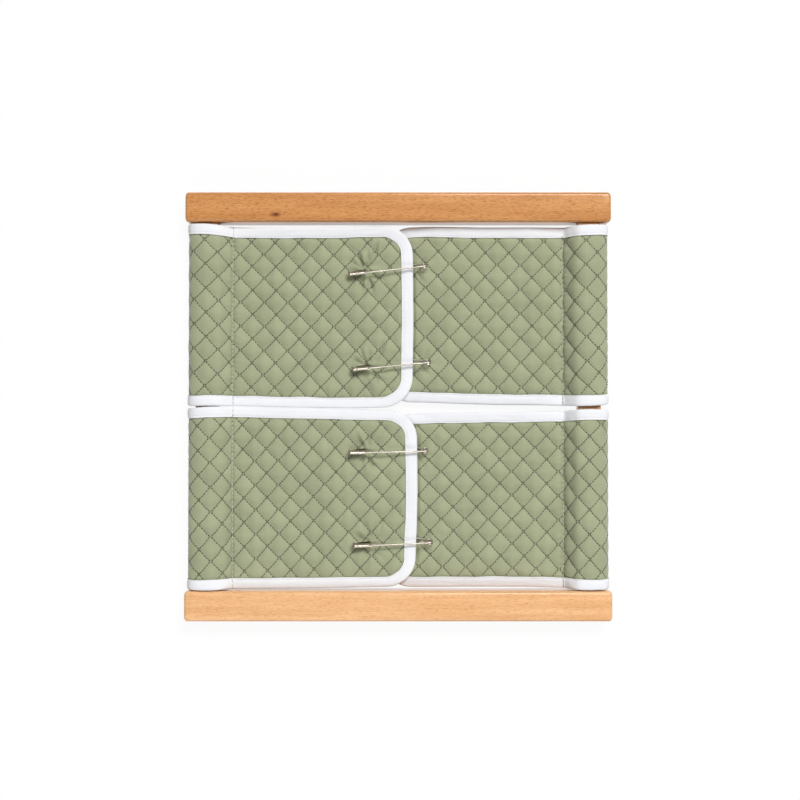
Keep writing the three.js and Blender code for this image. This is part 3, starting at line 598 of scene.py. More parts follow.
# The folded tape's outside and inside, in millimetres in from the edge and up from the
# middle of the cloth. Its stitches lie in the dip at STITCH_LINE.
TAPE_OUTSIDE = np.array([
    (TAPE_WIDTH, 0.80), (8.36, 0.98), (8.15, 1.08), (7.75, 1.06), (7.35, 0.94), (6.95, 0.98),
    (6.5, 1.10), (5.8, 1.20), (4.8, TAPE_HALF), (3.8, TAPE_HALF), (2.8, TAPE_HALF), (1.9, 1.22),
    (1.2, 1.12), (0.65, 0.92), (0.25, 0.6), (0.05, 0.3)])
TAPE_INSIDE = np.array([
    (8.2, 0.70), (7.35, 0.64), (6.0, 0.80), (4.0, 0.88), (2.0, 0.84), (1.0, 0.7), (0.5, 0.4)])
STITCH_LINE = 7.35
SEAM_PITCH, SEAM_SHARE, SEAM_START, SEAM_THREAD = 3.1, 0.75, 0.8, 0.3
HEM_SHARE, HEM_THREAD, HEM_HEIGHT = 0.72, 0.16, 0.98

# How far the quilting stays from the bar seam, from the end of a sleeve's tail and from the
# tape
SEAM_CLEAR, TAIL_CLEAR, TAPE_CLEAR = 0.6, 1.5, 0.5

# The quilting's stitches: the crossings numbered each way from a panel's middle, the
# stitches to a zigzag's side, where each starts and ends as shares of its step on a way
# out and on a way back, how far a side bends, and how unevenly the stitches lie
CROSSINGS_ALONG, CROSSINGS_ACROSS, TO_A_SIDE = 9, 5, 5
START_SHARE, OUT_SHARE, BACK_SHARE, BEND_SHARE, UNEVEN = 0.04, 0.92, 0.82, 0.03, 0.08


def tape_section():
    """The tape's folded section as (in from the edge, up) pairs: over the front, round the edge,
    along the back, and home through the fold."""
    under = TAPE_OUTSIDE[::-1] * (1, -1)
    inner = np.vstack([TAPE_INSIDE * (1, -1), [(0.42, 0)], TAPE_INSIDE[::-1]])
    return np.vstack([TAPE_OUTSIDE, [(0, 0)], under, inner])


def flap_edge(panel):
    """Points round a flap's three free edges, from the bar seam at the top to the bar seam at the
    bottom, with the way in from each and the running length. Each free corner is a quarter circle."""
    half, reach = HEIGHT[panel["side"]] / 2, panel["reach"]
    straight = np.arange(-SEAM_X, reach - CORNER, TAPE_STEP)
    turn = np.linspace(math.pi / 2, 0, 30)
    side = np.arange(half - CORNER, -half + CORNER, -TAPE_STEP)[1:]
    cx, cy = reach - CORNER, half - CORNER
    points = np.concatenate([
        np.stack([straight, np.full_like(straight, half)], 1),
        np.stack([cx + CORNER * np.cos(turn), cy + CORNER * np.sin(turn)], 1),
        np.stack([np.full_like(side, reach), side], 1),
        np.stack([cx + CORNER * np.cos(turn[::-1]), -cy - CORNER * np.sin(turn[::-1])], 1),
        np.stack([straight[::-1], np.full_like(straight, -half)], 1)])
    inwards = np.concatenate([
        np.tile([(0.0, -1.0)], (len(straight), 1)),
        -np.stack([np.cos(turn), np.sin(turn)], 1),
        np.tile([(-1.0, 0.0)], (len(side), 1)),
        -np.stack([np.cos(turn[::-1]), -np.sin(turn[::-1])], 1),
        np.tile([(0.0, 1.0)], (len(straight), 1))])
    return points, inwards, running_length(points)


def tape_mesh(panel, points, inwards, run, place, seed):
    """Tape carried along an edge: at every step the folded section stands square to the edge, with
    small rolls and stitched-down dips that depend on the running length."""
    section = tape_section()
    w, n = section[:, 0][None], section[:, 1][None]
    length = run[:, None]
    outside = np.arange(len(section)) < 2 * len(TAPE_OUTSIDE) + 1
    roll = 0.07 * ripple(length, 3 * w, seed, 17) + 0.05 * ripple(length, 6 * w, seed + 1, 6)
    pitch = bpy.context.scene.frame_sizes.hem_pitch / MM
    pinch = 0.10 * bell(w - STITCH_LINE, 0.7) * (0.5 + 0.5 * np.cos(2 * math.pi * length / pitch))
    bulge = np.where(outside[None] & (w < 8.1), (roll - pinch) * np.clip(w, 0, 1), 0)
    height = n + np.sign(n) * bulge
    share = tape_width(panel, points[:, 0:1]) / TAPE_WIDTH
    wide = w * share + 0.18 * ripple(length, 0 * w, seed + 2, 24) * (w / TAPE_WIDTH)
    x = points[:, 0:1] + inwards[:, 0:1] * wide
    y = points[:, 1:2] + inwards[:, 1:2] * wide
    at = place(panel, x, y, height)
    rows, columns = x.shape
    faces = quads(rows, columns, wrap_columns=True)
    uv = np.stack([length + 0 * w, w + 0 * length], -1).reshape(-1, 2)
    all_faces = [faces, end_faces(rows, columns)]
    if panel["side"] < 0:
        all_faces = [f[:, ::-1] for f in all_faces]
    return at.reshape(-1, 3), all_faces, uv


def stitch_mesh(starts, ends, lift, radius, sides=5):
    """One closed sliver per stitch: four rings along the axis from its start to its end, thin and
    sunk at both ends and flattened to four fifths."""
    axis = ends - starts
    size = np.linalg.norm(axis, axis=1, keepdims=True)
    axis = axis / np.maximum(size, 1e-6)
    up = lift / np.maximum(np.linalg.norm(lift, axis=1, keepdims=True), 1e-6)
    across = np.cross(axis, up)
    across /= np.maximum(np.linalg.norm(across, axis=1, keepdims=True), 1e-6)
    up = np.cross(across, axis)
    shares = np.array([0.0, 0.16, 0.84, 1.0])
    sizes = np.array([0.55, 1.0, 1.0, 0.55]) * radius
    sinks = np.array([-0.6, 0.3, 0.3, -0.6]) * radius
    turn = np.arange(sides) * 2 * math.pi / sides
    centre = (starts[:, None] + (ends - starts)[:, None] * shares[None, :, None]
              + up[:, None] * sinks[None, :, None])
    ring = (across[:, None, None] * np.cos(turn)[None, None, :, None]
            + up[:, None, None] * 0.8 * np.sin(turn)[None, None, :, None])
    points = centre[:, :, None] + ring * sizes[None, :, None, None]
    rings = len(shares)
    base = np.arange(len(starts))[:, None, None] * rings * sides
    side_faces = (quads(rings, sides, wrap_columns=True)[None] + base).reshape(-1, 4)
    cap_faces = (end_faces(rings, sides)[None] + base).reshape(-1, sides)
    return points.reshape(-1, 3), [side_faces[:, ::-1], cap_faces[:, ::-1]]


def surface_stitches(panel, a, b, place, rise, radius, back=False):
    """Stitches between cloth points a and b, laid on the face that rise gives. Each leans away from
    the cloth as the face does at its own middle."""
    sign = -1 if back else 1

    def on(points, more=0):
        x, y = points.T
        return place(panel, x, y, sign * (rise(x, y) + more))

    middle = (a + b) / 2
    return stitch_mesh(on(a), on(b), on(middle, 1) - on(middle), radius)


def joined(one, two):
    """Two meshes as one."""
    return np.vstack([one[0], two[0]]), [*one[1], *(faces + len(one[0]) for faces in two[1])]


def undrawn(panel, along, across):
    """The cloth point that lies at a place in plan: the inverse of drawn(), by four rounds of
    correction."""
    x, y = along.copy(), across - centre_y(panel)
    for _ in range(4):
        px, py = drawn(panel, x, y)
        x, y = x + along - px, y + across - py
    return x, y


def quilt_stitches(panel, low_x, high_x):
    """Starts and ends of the quilting stitches between two places along the cloth. Each needle sews
    a zigzag from one crossing to the next, five stitches to a side. In every other row its turns
    stop short of its neighbour's."""
    a, b = (v.ravel() for v in np.meshgrid(
        np.arange(-CROSSINGS_ALONG, CROSSINGS_ALONG + 1),
        np.arange(-CROSSINGS_ACROSS, CROSSINGS_ACROSS + 1), indexing="ij"))
    spin = np.random.default_rng(11 + len(panel["name"]))
    pieces = []
    for row in (0, 1):
        for way, share in ((0.5, OUT_SHARE), (-0.5, BACK_SHARE)):
            for k in range(TO_A_SIDE):
                ends = []
                for t in ((k + START_SHARE) / TO_A_SIDE, (k + share) / TO_A_SIDE):
                    part = (1 - t) if row == panel["loose_row"] else t
                    bend = BEND_SHARE * math.sin(math.pi * t)
                    x, y = crossing(panel, a + row / 2 + way * (t + bend), b + row / 2 + 0.5 * (t - bend))
                    vary = 0.75 + 0.45 * np.sin(3.7 * a + 1.3 * b)
                    side = math.copysign(1, way) * (1 if row == panel["loose_row"] else -1)
                    ends.append(np.stack([x + 0.5 * side * panel["loose"] * vary * part ** 2, y], 1))
                pieces.append(np.stack(ends, 1))
    lines = np.concatenate(pieces)
    lines += spin.normal(0, UNEVEN, lines.shape)
    a, b = (np.stack(undrawn(panel, lines[:, k, 0], lines[:, k, 1]), 1) for k in (0, 1))
    middle = (a + b) / 2
    x, y = middle.T
    in_clear = edge_distance(panel, x, y) > tape_width(panel, x) + TAPE_CLEAR
    keep = in_clear & (x > low_x) & (x < high_x)
    return a[keep], b[keep]


def line_stitches(points, run, pitch, share, offset=0.0):
    """Starts and ends of stitches along a line of points, one every pitch, that fill that share of it."""
    starts = np.arange(offset, run[-1] - pitch, pitch)

    def at(place):
        return np.stack([np.interp(place, run, points[:, 0]), np.interp(place, run, points[:, 1])], 1)

    return at(starts), at(starts + pitch * share)


# Safety pins


def wire_mesh(points, radii, sides=14):
    """A round wire along points: at each, a ring in the plane square to the path, on the pin's own
    sideways axis. Its two ends are closed with a small cone."""
    way = np.gradient(points, axis=0)
    way /= np.linalg.norm(way, axis=1, keepdims=True)
    across = np.array([0.0, 1.0, 0.0]) - way * way[:, 1:2]
    across /= np.linalg.norm(across, axis=1, keepdims=True)
    other = np.cross(way, across)
    turn = np.arange(sides) * 2 * math.pi / sides
    ring = across[:, None] * np.cos(turn)[None, :, None] + other[:, None] * np.sin(turn)[None, :, None]
    body = points[:, None] + ring * np.asarray(radii)[:, None, None]
    rows = len(points)
    tips = np.stack([points[0] - way[0] * radii[0] * 0.4, points[-1] + way[-1] * radii[-1] * 0.4])
    k = np.arange(sides)
    ahead = (k + 1) % sides
    last = (rows - 1) * sides
    start = np.stack([np.full(sides, rows * sides), ahead, k], 1)
    end = np.stack([np.full(sides, rows * sides + 1), last + k, last + ahead], 1)
    return np.vstack([body.reshape(-1, 3), tips]), [quads(rows, sides, wrap_columns=True), start, end]


def eye(up, side):
    """One side of the coil: a circle in the pin's plane, all but a sixth of a turn, which ends at
    the arm."""
    angle = np.linspace(COIL_TURN_SHARE * 2 * math.pi, 0, 44)
    return np.stack([COIL * np.sin(angle), np.full(len(angle), side), up * COIL * np.cos(angle)], 1)


def needle_path():
    """The needle: its side of the coil, then an arm that bows away by 27/4 of s times (1 - s)
    squared, s the share of its length, and comes in to the middle. Over the last seven millimetres
    it thins to a point."""
    share = np.linspace(0.012, 1, 60)
    side = -(ARM_GAP / 2 + WIRE)
    arm = np.stack([-share * NEEDLE, side * (1 - share),
                    -COIL - BOW * 27 / 4 * share * (1 - share) ** 2], 1)
    coil = eye(-1, side)
    thin = np.clip((1 - share) * NEEDLE / POINT, 0, 1) ** 0.8
    radii = np.concatenate([np.full(len(coil), WIRE), TIP + (WIRE - TIP) * thin])
    return np.vstack([coil, arm]), radii


def back_path():
    """The back arm: its side of the coil, then straight to the head and in to the middle."""
    share = np.linspace(0.01, 1, 40)
    side = ARM_GAP / 2 + WIRE
    arm = np.stack([-share * BACK, side * (1 - share), np.full(len(share), COIL)], 1)
    path = np.vstack([eye(1, side), arm])
    return path, np.full(len(path), WIRE)


def head_section():
    """The pressed sheet's middle line as (across, up) pairs: a small lip, the long cheek, which
    bulges by a sine, a half circle over the back arm and the short cheek."""
    middle = HEAD_SIDE - HEAD_SHEET / 2
    low, mouth = -HEAD_LOW + HEAD_SHEET / 2, COIL - HEAD_MOUTH
    up = np.linspace(low, COIL, 22)
    bulge = HEAD_BULGE * np.sin(math.pi * (up - low) / (COIL - low))
    cheek = np.stack([-middle - bulge, up], 1)
    angle = np.linspace(math.pi, 0, 18)[1:]
    ridge = np.stack([middle * np.cos(angle), COIL + middle * np.sin(angle)], 1)
    short = np.stack([np.full(7, middle), np.linspace(COIL, mouth, 8)[1:]], 1)
    lip = np.array([(-middle + 0.34, low + 0.10), (-middle + 0.17, low - 0.03)])
    return np.vstack([lip, cheek, ridge, short])


def head_mesh():
    """The head: the section given half a sheet's thickness to each side and carried along the pin,
    with its mouth flared a little and the nose drawn in over a quarter ellipse and closed. A plug
    fills the nose. The last value says which faces are inside."""
    line = head_section()
    way = np.gradient(line, axis=0)
    way /= np.linalg.norm(way, axis=1, keepdims=True)
    normal = np.stack([-way[:, 1], way[:, 0]], 1)
    half = HEAD_SHEET / 2
    outer, inner = line + normal * half, line - normal * half
    start, end = line[0] - way[0] * half * 0.8, line[-1] + way[-1] * half * 0.8
    loop = np.vstack([outer, end[None], inner[::-1], start[None]])
    tip = -(BACK + HEAD_ROOM + HEAD_SHEET)
    along = np.concatenate([tip + HEAD_NOSE * (1 - np.cos(np.linspace(0.25, math.pi / 2, 9))),
                            np.linspace(tip + 1.7, tip + HEAD, 24)])
    nose = np.clip((along - tip) / HEAD_NOSE, 0, 1)
    shrink = 0.25 + 0.75 * np.sqrt(np.clip(1 - (1 - nose) ** 2, 0, 1))
    flare = 1 + HEAD_FLARE_SHARE * smooth(tip + HEAD - HEAD_FLARE, tip + HEAD, along)
    centre = np.array([0.0, (COIL - HEAD_LOW) / 2 + 0.3])
    grid = centre + (loop - centre)[None] * (shrink * flare)[:, None, None]
    rows, columns = grid.shape[:2]
    faces = quads(rows, columns, wrap_columns=True)
    caps = end_faces(rows, columns)
    inside = (faces % columns).min(1) > len(outer)
    side = grid_along(along, grid).reshape(-1, 3)
    around = 40
    angle = np.linspace(0, 2 * math.pi, around, endpoint=False)
    middle = np.where(np.sin(angle) >= 0, COIL, -HEAD_LOW + HEAD_SIDE * 0.9)
    radius = HEAD_SIDE * HEAD_PLUG_SHARE
    plug = np.stack([radius * np.cos(angle), middle + radius * np.sin(angle)], 1)
    depth = np.array([0.0, 0.35, 0.7, 1.0, 1.2])
    round_off = np.sqrt(np.clip(1 - (1 - np.array([0.18, 0.45, 0.75, 1.0, 1.0])) ** 2, 0, 1))
    ring = grid_along(tip + depth, centre + (plug - centre)[None] * round_off[:, None, None])
    plug_faces = quads(len(depth), around, wrap_columns=True) + len(side)
    plug_caps = end_faces(len(depth), around) + len(side)
    faces = [faces[:, ::-1], caps[:, ::-1], plug_faces, plug_caps]
    return np.vstack([side, ring.reshape(-1, 3)]), faces, inside


def pin_place(points, pin):
    """Pin points turned by the lean about its length, raised at the head, headed across the flaps
    and put at its coil."""
    heading = math.radians(pin["heading"])
    turn = Matrix.Rotation(heading, 3, "Z") @ Matrix.Rotation(PITCH, 3, "Y") @ Matrix.Rotation(LEAN, 3, "X")
    return points @ np.array(turn).T + np.array([*pin["at"], COIL_Z])


# Rails


def rail_mesh(row):
    """A rail: a rounded rectangle carried along its length. Over the last stretch at each end the
    section draws in on a quarter circle, and its long edges wander by a few hundredths of a
    millimetre, as sanded edges do."""
    across, up = RAIL_WIDTH / 2, RAIL_HEIGHT / 2
    turn = np.linspace(0, math.pi / 2, 8)
    corner = np.stack([across - RAIL_ROUND + RAIL_ROUND * np.cos(turn),
                       up - RAIL_ROUND + RAIL_ROUND * np.sin(turn)], 1)
    one = np.vstack([corner, [(0, up)], corner[::-1] * (-1, 1)])
    ring = np.vstack([one, [(-across, 0)], one[::-1] * (1, -1), [(across, 0)]])
    bow = RAIL_ROUND * (1 - np.cos(np.linspace(0, math.pi / 2, 9)))
    rise = RAIL_ROUND * (1 - np.sin(np.linspace(0, math.pi / 2, 9)))
    half = RAIL_LENGTH / 2
    middle = np.linspace(-half + RAIL_ROUND, half - RAIL_ROUND, 60)[1:-1]
    along = np.concatenate([-half + bow, middle, (half - bow)[::-1]])
    inset = np.concatenate([rise, np.zeros(len(middle)), rise[::-1]])
    size = np.stack([1 - inset / across, 1 - inset / up], 1)
    wander = 0.05 * ripple(along[:, None], 40 * np.arange(len(ring))[None], 3 + row, 45)
    section = ring[None] * size[:, None] * (1 - np.abs(wander[..., None]) / 12)
    points = grid_along(along, section) + (0, row * RAIL_Y, RAIL_HEIGHT / 2)
    shape = section.shape[:2]
    return points.reshape(-1, 3), [quads(*shape, wrap_columns=True), end_faces(*shape)]


def screw_cut(side, row):
    """The countersunk hole of a screw: a profile of (radius, depth) pairs turned about the screw's
    axis, from a millimetre outside the wood to 24 mm deep."""
    wide = SCREW_HEAD / 2 + SCREW_ROOM
    profile = np.array([(0.001, 24.0), (SCREW_HOLE, 23.0), (SCREW_HOLE, SCREW_DEPTH + 0.2), (wide, 0.05),
                        (wide, -1.0), (0.001, -1.0)])
    sides = 32
    turn = np.linspace(0, 2 * math.pi, sides, endpoint=False)
    radius, depth = profile[:, :1], profile[:, 1:]
    face = row * (RAIL_Y + RAIL_WIDTH / 2)
    points = np.stack([side * SCREW_X + radius * np.cos(turn), face - row * depth + 0 * turn,
                       RAIL_HEIGHT / 2 + radius * np.sin(turn)], -1)
    faces = [quads(len(profile), sides, wrap_columns=True), end_faces(len(profile), sides)]
    return points.reshape(-1, 3), faces if row > 0 else [f[:, ::-1] for f in faces]


# Materials

# The top rail's knot: its place, and the half length and half widths of its dark middle
KNOT = (-87.4, 136.9, 19.0)
KNOT_SIZE = (3.333, 1.613, 1.613)

# From one thread of a weave to the next, as drawn, and the length of a sewing thread's turn
DRAWN_THREAD, TWIST = 1.7765, 1.0472


def repeats(millimetres):
    """The scale that makes one feature of a noise texture that wide."""
    return 1 / (millimetres * MM)


def node(tree, kind, settings=(), inputs=()):
    """Adds a shader node. settings are its own properties, and inputs are values or output sockets
    for its sockets."""
    made = tree.nodes.new(kind)
    for name, value in dict(settings).items():
        setattr(made, name, value)
    for name, value in dict(inputs).items():
        if isinstance(value, bpy.types.NodeSocket):
            tree.links.new(value, made.inputs[name])
        else:
            made.inputs[name].default_value = value
    return made


def new_material(name, roughness, metallic=0.0, sheen=0.0, specular=None):
    """An empty material with a Principled shader of that finish."""
    material = bpy.data.materials.new(name)
    material.use_nodes = True
    shader = material.node_tree.nodes["Principled BSDF"]
    shader.inputs["Roughness"].default_value = roughness
    shader.inputs["Metallic"].default_value = metallic
    shader.inputs["Sheen Weight"].default_value = sheen
    if specular is not None:
        shader.inputs["Specular IOR Level"].default_value = specular
    return material, material.node_tree, shader


def beech(name, colour, flecked, turned=False, knot=None):
    """Planed and oiled European beech. The eye gets a warm ground with slow bands, fine fibre and
    short dark flecks along the grain, about 3 mm long and a quarter of a millimetre wide, and on
    one rail a small knot."""
    light = shade(colour, 1)
    dark = shade(colour, (0.85, 0.77, 0.66))
    fleck = shade(colour, (0.47, 0.29, 0.18))
    material, tree, shader = new_material(name, 0.5, specular=0.25)
    shader.inputs["Coat Weight"].default_value = 1.0
    shader.inputs["Coat Roughness"].default_value = 0.12
    shader.inputs["Coat IOR"].default_value = 1.35
    where = node(tree, "ShaderNodeTexCoord")
    place = node(tree, "ShaderNodeMapping", inputs={
        "Vector": where.outputs["Object"], "Rotation": (0, 0, math.pi / 2 if turned else 0)})

    def grain(length, width, detail, rough):
        flat = node(tree, "ShaderNodeMapping", inputs={
            "Vector": place.outputs["Vector"], "Scale": (repeats(length), repeats(width), repeats(width))})
        return node(tree, "ShaderNodeTexNoise", inputs={
            "Vector": flat.outputs["Vector"], "Scale": 1.0, "Detail": detail,
            "Roughness": rough}).outputs["Fac"]

    bands = grain(122.22, 5.5556, 3, 0.55)
    fibre = grain(21.429, 0.71429, 4, 0.6)
    cells = grain(3.1818, 0.454545, 1, 0.4)
    tone = node(tree, "ShaderNodeMix", {"data_type": "RGBA"}, {
        "Factor": node(tree, "ShaderNodeMapRange", inputs={
            "Value": bands, "From Min": 0.3, "From Max": 0.72}).outputs["Result"],
        "A": light, "B": dark}).outputs["Result"]
    fine = node(tree, "ShaderNodeMix", {"data_type": "RGBA", "blend_type": "MULTIPLY"}, {
        "Factor": node(tree, "ShaderNodeMapRange", inputs={
            "Value": fibre, "From Min": 0.45, "From Max": 0.75, "To Max": 0.35}).outputs["Result"],
        "A": tone, "B": dark}).outputs["Result"]
    marks = node(tree, "ShaderNodeMapRange", inputs={
        "Value": cells, "From Min": 0.545, "From Max": 0.655, "To Max": 0.7 * flecked}).outputs["Result"]
    colour = node(tree, "ShaderNodeMix", {"data_type": "RGBA"}, {
        "Factor": marks, "A": fine, "B": fleck}).outputs["Result"]
    if knot is not None:
        near = node(tree, "ShaderNodeMapping", {"vector_type": "POINT"}, {
            "Vector": where.outputs["Object"],
            "Location": tuple(-place / size for place, size in zip(knot, KNOT_SIZE)),
            "Scale": tuple(repeats(size) for size in KNOT_SIZE)})
        far = node(tree, "ShaderNodeVectorMath", {"operation": "LENGTH"}, {0: near.outputs["Vector"]})
        spot = node(tree, "ShaderNodeMapRange", inputs={
            "Value": far.outputs["Value"], "From Min": 0.3, "From Max": 1.4, "To Min": 1.0, "To Max": 0.0})
        colour = node(tree, "ShaderNodeMix", {"data_type": "RGBA"}, {
            "Factor": spot.outputs["Result"], "A": colour, "B": linear("#6e2c0c")}).outputs["Result"]
    tree.links.new(colour, shader.inputs["Base Color"])
    bump = node(tree, "ShaderNodeBump", inputs={"Strength": 0.12, "Distance": 0.0002, "Height": fibre})
    tree.links.new(bump.outputs["Normal"], shader.inputs["Normal"])
    return material


def woven(name, colour, dark_share, crease_shade_share, rough, sheen):
    """Plain-woven cotton. The eye gets a matt ground with an over-and-under of threads, a soft
    unevenness of dye over a few centimetres, and painted shade down in the stitched creases and round
    the pins' dents, where the cloth's rise attribute is low. Real threads are too fine for the render,
    so each is drawn as wide as four."""
    light, dark, crease_shade = (shade(colour, share) for share in (1, dark_share, crease_shade_share))
    material, tree, shader = new_material(name, rough, sheen=sheen, specular=0.2)
    cloth = node(tree, "ShaderNodeUVMap", {"uv_map": "cloth"}).outputs["UV"]
    dye = node(tree, "ShaderNodeTexNoise", inputs={
        "Vector": cloth, "Scale": repeats(22.222), "Detail": 4.0, "Roughness": 0.6}).outputs["Fac"]
    slub = node(tree, "ShaderNodeTexNoise", inputs={
        "Vector": cloth, "Scale": repeats(0.526316), "Detail": 2.0, "Roughness": 0.6}).outputs["Fac"]
    warp, weft = (node(tree, "ShaderNodeTexWave", {"bands_direction": direction}, {
        "Vector": cloth, "Scale": math.pi / 10 / (DRAWN_THREAD * MM), "Distortion": 0.6, "Detail": 1.0,
        "Detail Scale": 3.0}).outputs["Fac"] for direction in ("X", "Y"))
    weave = node(tree, "ShaderNodeMath", {"operation": "MULTIPLY"}, {0: warp, 1: weft}).outputs["Value"]
    rise = node(tree, "ShaderNodeAttribute", {"attribute_name": "rise"}).outputs["Fac"]
    ground = node(tree, "ShaderNodeMix", {"data_type": "RGBA"}, {
        "Factor": node(tree, "ShaderNodeMapRange", inputs={
            "Value": dye, "From Min": 0.3, "From Max": 0.7}).outputs["Result"],
        "A": light, "B": dark}).outputs["Result"]
    # Painted shade: the colour darkens towards crease_shade where the rise attribute is low, in the
    # creases.
    deep = node(tree, "ShaderNodeMapRange", {"interpolation_type": "SMOOTHSTEP"}, {
        "Value": rise, "From Min": 0.0, "From Max": 0.2, "To Min": 0.45, "To Max": 0.0}).outputs["Result"]
    ground = node(tree, "ShaderNodeMix", {"data_type": "RGBA"}, {
        "Factor": deep, "A": ground, "B": crease_shade}).outputs["Result"]
    specks = node(tree, "ShaderNodeMix", {"data_type": "RGBA", "blend_type": "MULTIPLY"}, {
        "Factor": node(tree, "ShaderNodeMapRange", inputs={
            "Value": slub, "From Min": 0.35, "From Max": 0.68, "To Max": 0.3}).outputs["Result"],
        "A": ground, "B": dark}).outputs["Result"]
    tree.links.new(specks, shader.inputs["Base Color"])
    bump = node(tree, "ShaderNodeBump", inputs={"Strength": 0.25, "Distance": 0.00008, "Height": weave})
    tree.links.new(bump.outputs["Normal"], shader.inputs["Normal"])
    return material


def thread(name, colour):
    """Spun polyester sewing thread. The eye gets a slightly shiny twist, a turn every millimetre."""
    material, tree, shader = new_material(name, 0.6, sheen=0.2, specular=0.3)
    where = node(tree, "ShaderNodeTexCoord").outputs["Object"]
    twist = node(tree, "ShaderNodeTexWave", {"bands_direction": "DIAGONAL"}, {
        "Vector": where, "Scale": math.pi / 5 / (TWIST * MM), "Distortion": 0.5})
    tone = node(tree, "ShaderNodeMix", {"data_type": "RGBA", "blend_type": "MULTIPLY"}, {
        "Factor": node(tree, "ShaderNodeMath", {"operation": "MULTIPLY"}, {
            0: twist.outputs["Fac"], 1: 0.35}).outputs["Value"],
        "A": shade(colour, 1), "B": linear("#808080")}).outputs["Result"]
    tree.links.new(tone, shader.inputs["Base Color"])
    return material


def plated(name, colour, roughness, mark):
    """Steel wire or sheet, drawn or pressed, tumbled and plated. The eye gets bright highlights with
    a faint haze of marks that are that many millimetres wide."""
    material, tree, shader = new_material(name, roughness, metallic=1.0)
    where = node(tree, "ShaderNodeTexCoord").outputs["Object"]
    haze = node(tree, "ShaderNodeTexNoise", inputs={"Vector": where, "Scale": repeats(mark), "Detail": 3.0})
    tone = node(tree, "ShaderNodeMix", {"data_type": "RGBA"}, {
        "Factor": haze.outputs["Fac"], "A": shade(colour, 1), "B": shade(colour, 0.72)}).outputs["Result"]
    tree.links.new(tone, shader.inputs["Base Color"])
    spread = node(tree, "ShaderNodeMapRange", inputs={
        "Value": haze.outputs["Fac"], "From Min": 0.3, "From Max": 0.7, "To Min": roughness * 0.7,
        "To Max": roughness * 1.4})
    tree.links.new(spread.outputs["Result"], shader.inputs["Roughness"])
    return material


def white_ground(name):
    """Matt white paper sweep. The camera sees it white, and it still takes the object's soft shadow."""
    material, tree, shader = new_material(name, 0.9, specular=0.1)
    shader.inputs["Base Color"].default_value = linear("#f4f4f4")
    path = node(tree, "ShaderNodeLightPath")
    seen = node(tree, "ShaderNodeMath", {"operation": "MAXIMUM"}, {
        0: path.outputs["Is Camera Ray"], 1: path.outputs["Is Glossy Ray"]}).outputs["Value"]
    part = node(tree, "ShaderNodeMath", {"operation": "MULTIPLY"}, {0: seen, 1: 0.93}).outputs["Value"]
    glow = node(tree, "ShaderNodeEmission", inputs={"Color": (1, 1, 1, 1), "Strength": 1.0})
    both = node(tree, "ShaderNodeMixShader", inputs={
        0: part, 1: shader.outputs["BSDF"], 2: glow.outputs["Emission"]})
    tree.links.new(both.outputs["Shader"], tree.nodes["Material Output"].inputs["Surface"])
    return material


# Settings and operators

# The angles past which an edge of wood or of metal is drawn sharp
SHARP_WOOD, SHARP_METAL = math.radians(40), math.radians(50)

# The ground and the camera's aim, in millimetres
GROUND_HALF, GROUND_DROP = 3000, 0.2
CAMERA_AIM = (1.3, 4.3, 19.0)

# The lamps' sizes and places and the camera's distance, in metres, and the camera's tilt
SOFT_BOX_SIZE, SOFT_BOX_AT = (1.8, 1.0), (0.90, 1.75, 2.68)
FILL_SIZE, FILL_AT = (0.8, 0.5), (-0.1, -1.0, 0.9)
CAMERA_DISTANCE, CAMERA_TILT = 0.85, math.radians(1.15)


def colour_setting(name, description, hex_colour):
    """A colour that a user would change."""
    return bpy.props.FloatVectorProperty(
        name=name, description=description, default=linear(hex_colour)[:3], size=3, min=0, max=1,
        subtype="COLOR")


def length_setting(name, description, millimetres, high):
    """A length that a user would change, kept in metres."""
    return bpy.props.FloatProperty(
        name=name, description=description, default=millimetres * MM, min=0, max=high * MM,
        unit="LENGTH", precision=5)


class FrameSizes(bpy.types.PropertyGroup):
    """Sizes, colours and lights that a user would change."""
    puff: length_setting("Puff", "Height of the quilting's diamonds over their stitch lines", 2.3, 3.0)
    thread: length_setting("Thread", "Radius of the quilting thread", 0.28, 0.6)
    hem_pitch: length_setting("Hem stitch", "Distance from one stitch in the tape to the next", 2.7, 6.0)
    sag: length_setting("Waviness", "Height of the flaps' slow waves", 0.35, 1.0)
    top_rail: colour_setting("Top rail", "Beech of the top rail", "#d4985a")
    bottom_rail: colour_setting("Bottom rail", "Beech of the bottom rail", "#f3c290")
    bars: colour_setting("Bars", "Beech of the side bars", "#e0b284")
    cloth: colour_setting("Cloth", "Quilted cotton", "#a9ae8e")
    tape: colour_setting("Tape", "Bias tape round the edges", "#ecedf0")
    quilting: colour_setting("Quilting thread", "Thread of the quilting", "#383e2d")
    wire: colour_setting("Pins", "Nickel of the safety pins", "#d4cbc0")
    lens: bpy.props.FloatProperty(
        name="Lens", description="Focal length of the camera", default=53.7, min=20, max=200, unit="CAMERA")
    lamp: bpy.props.FloatProperty(
        name="Lamp", description="Power of the large soft lamp", default=105.0, min=0, max=500,
        unit="POWER")
    fill: bpy.props.FloatProperty(
        name="Fill", description="Power of the small lamp on the near side", default=6.0, min=0, max=50,
        unit="POWER")
    room: bpy.props.FloatProperty(
        name="Room light", description="Strength of the even light from all round", default=0.22,
        min=0, max=5)


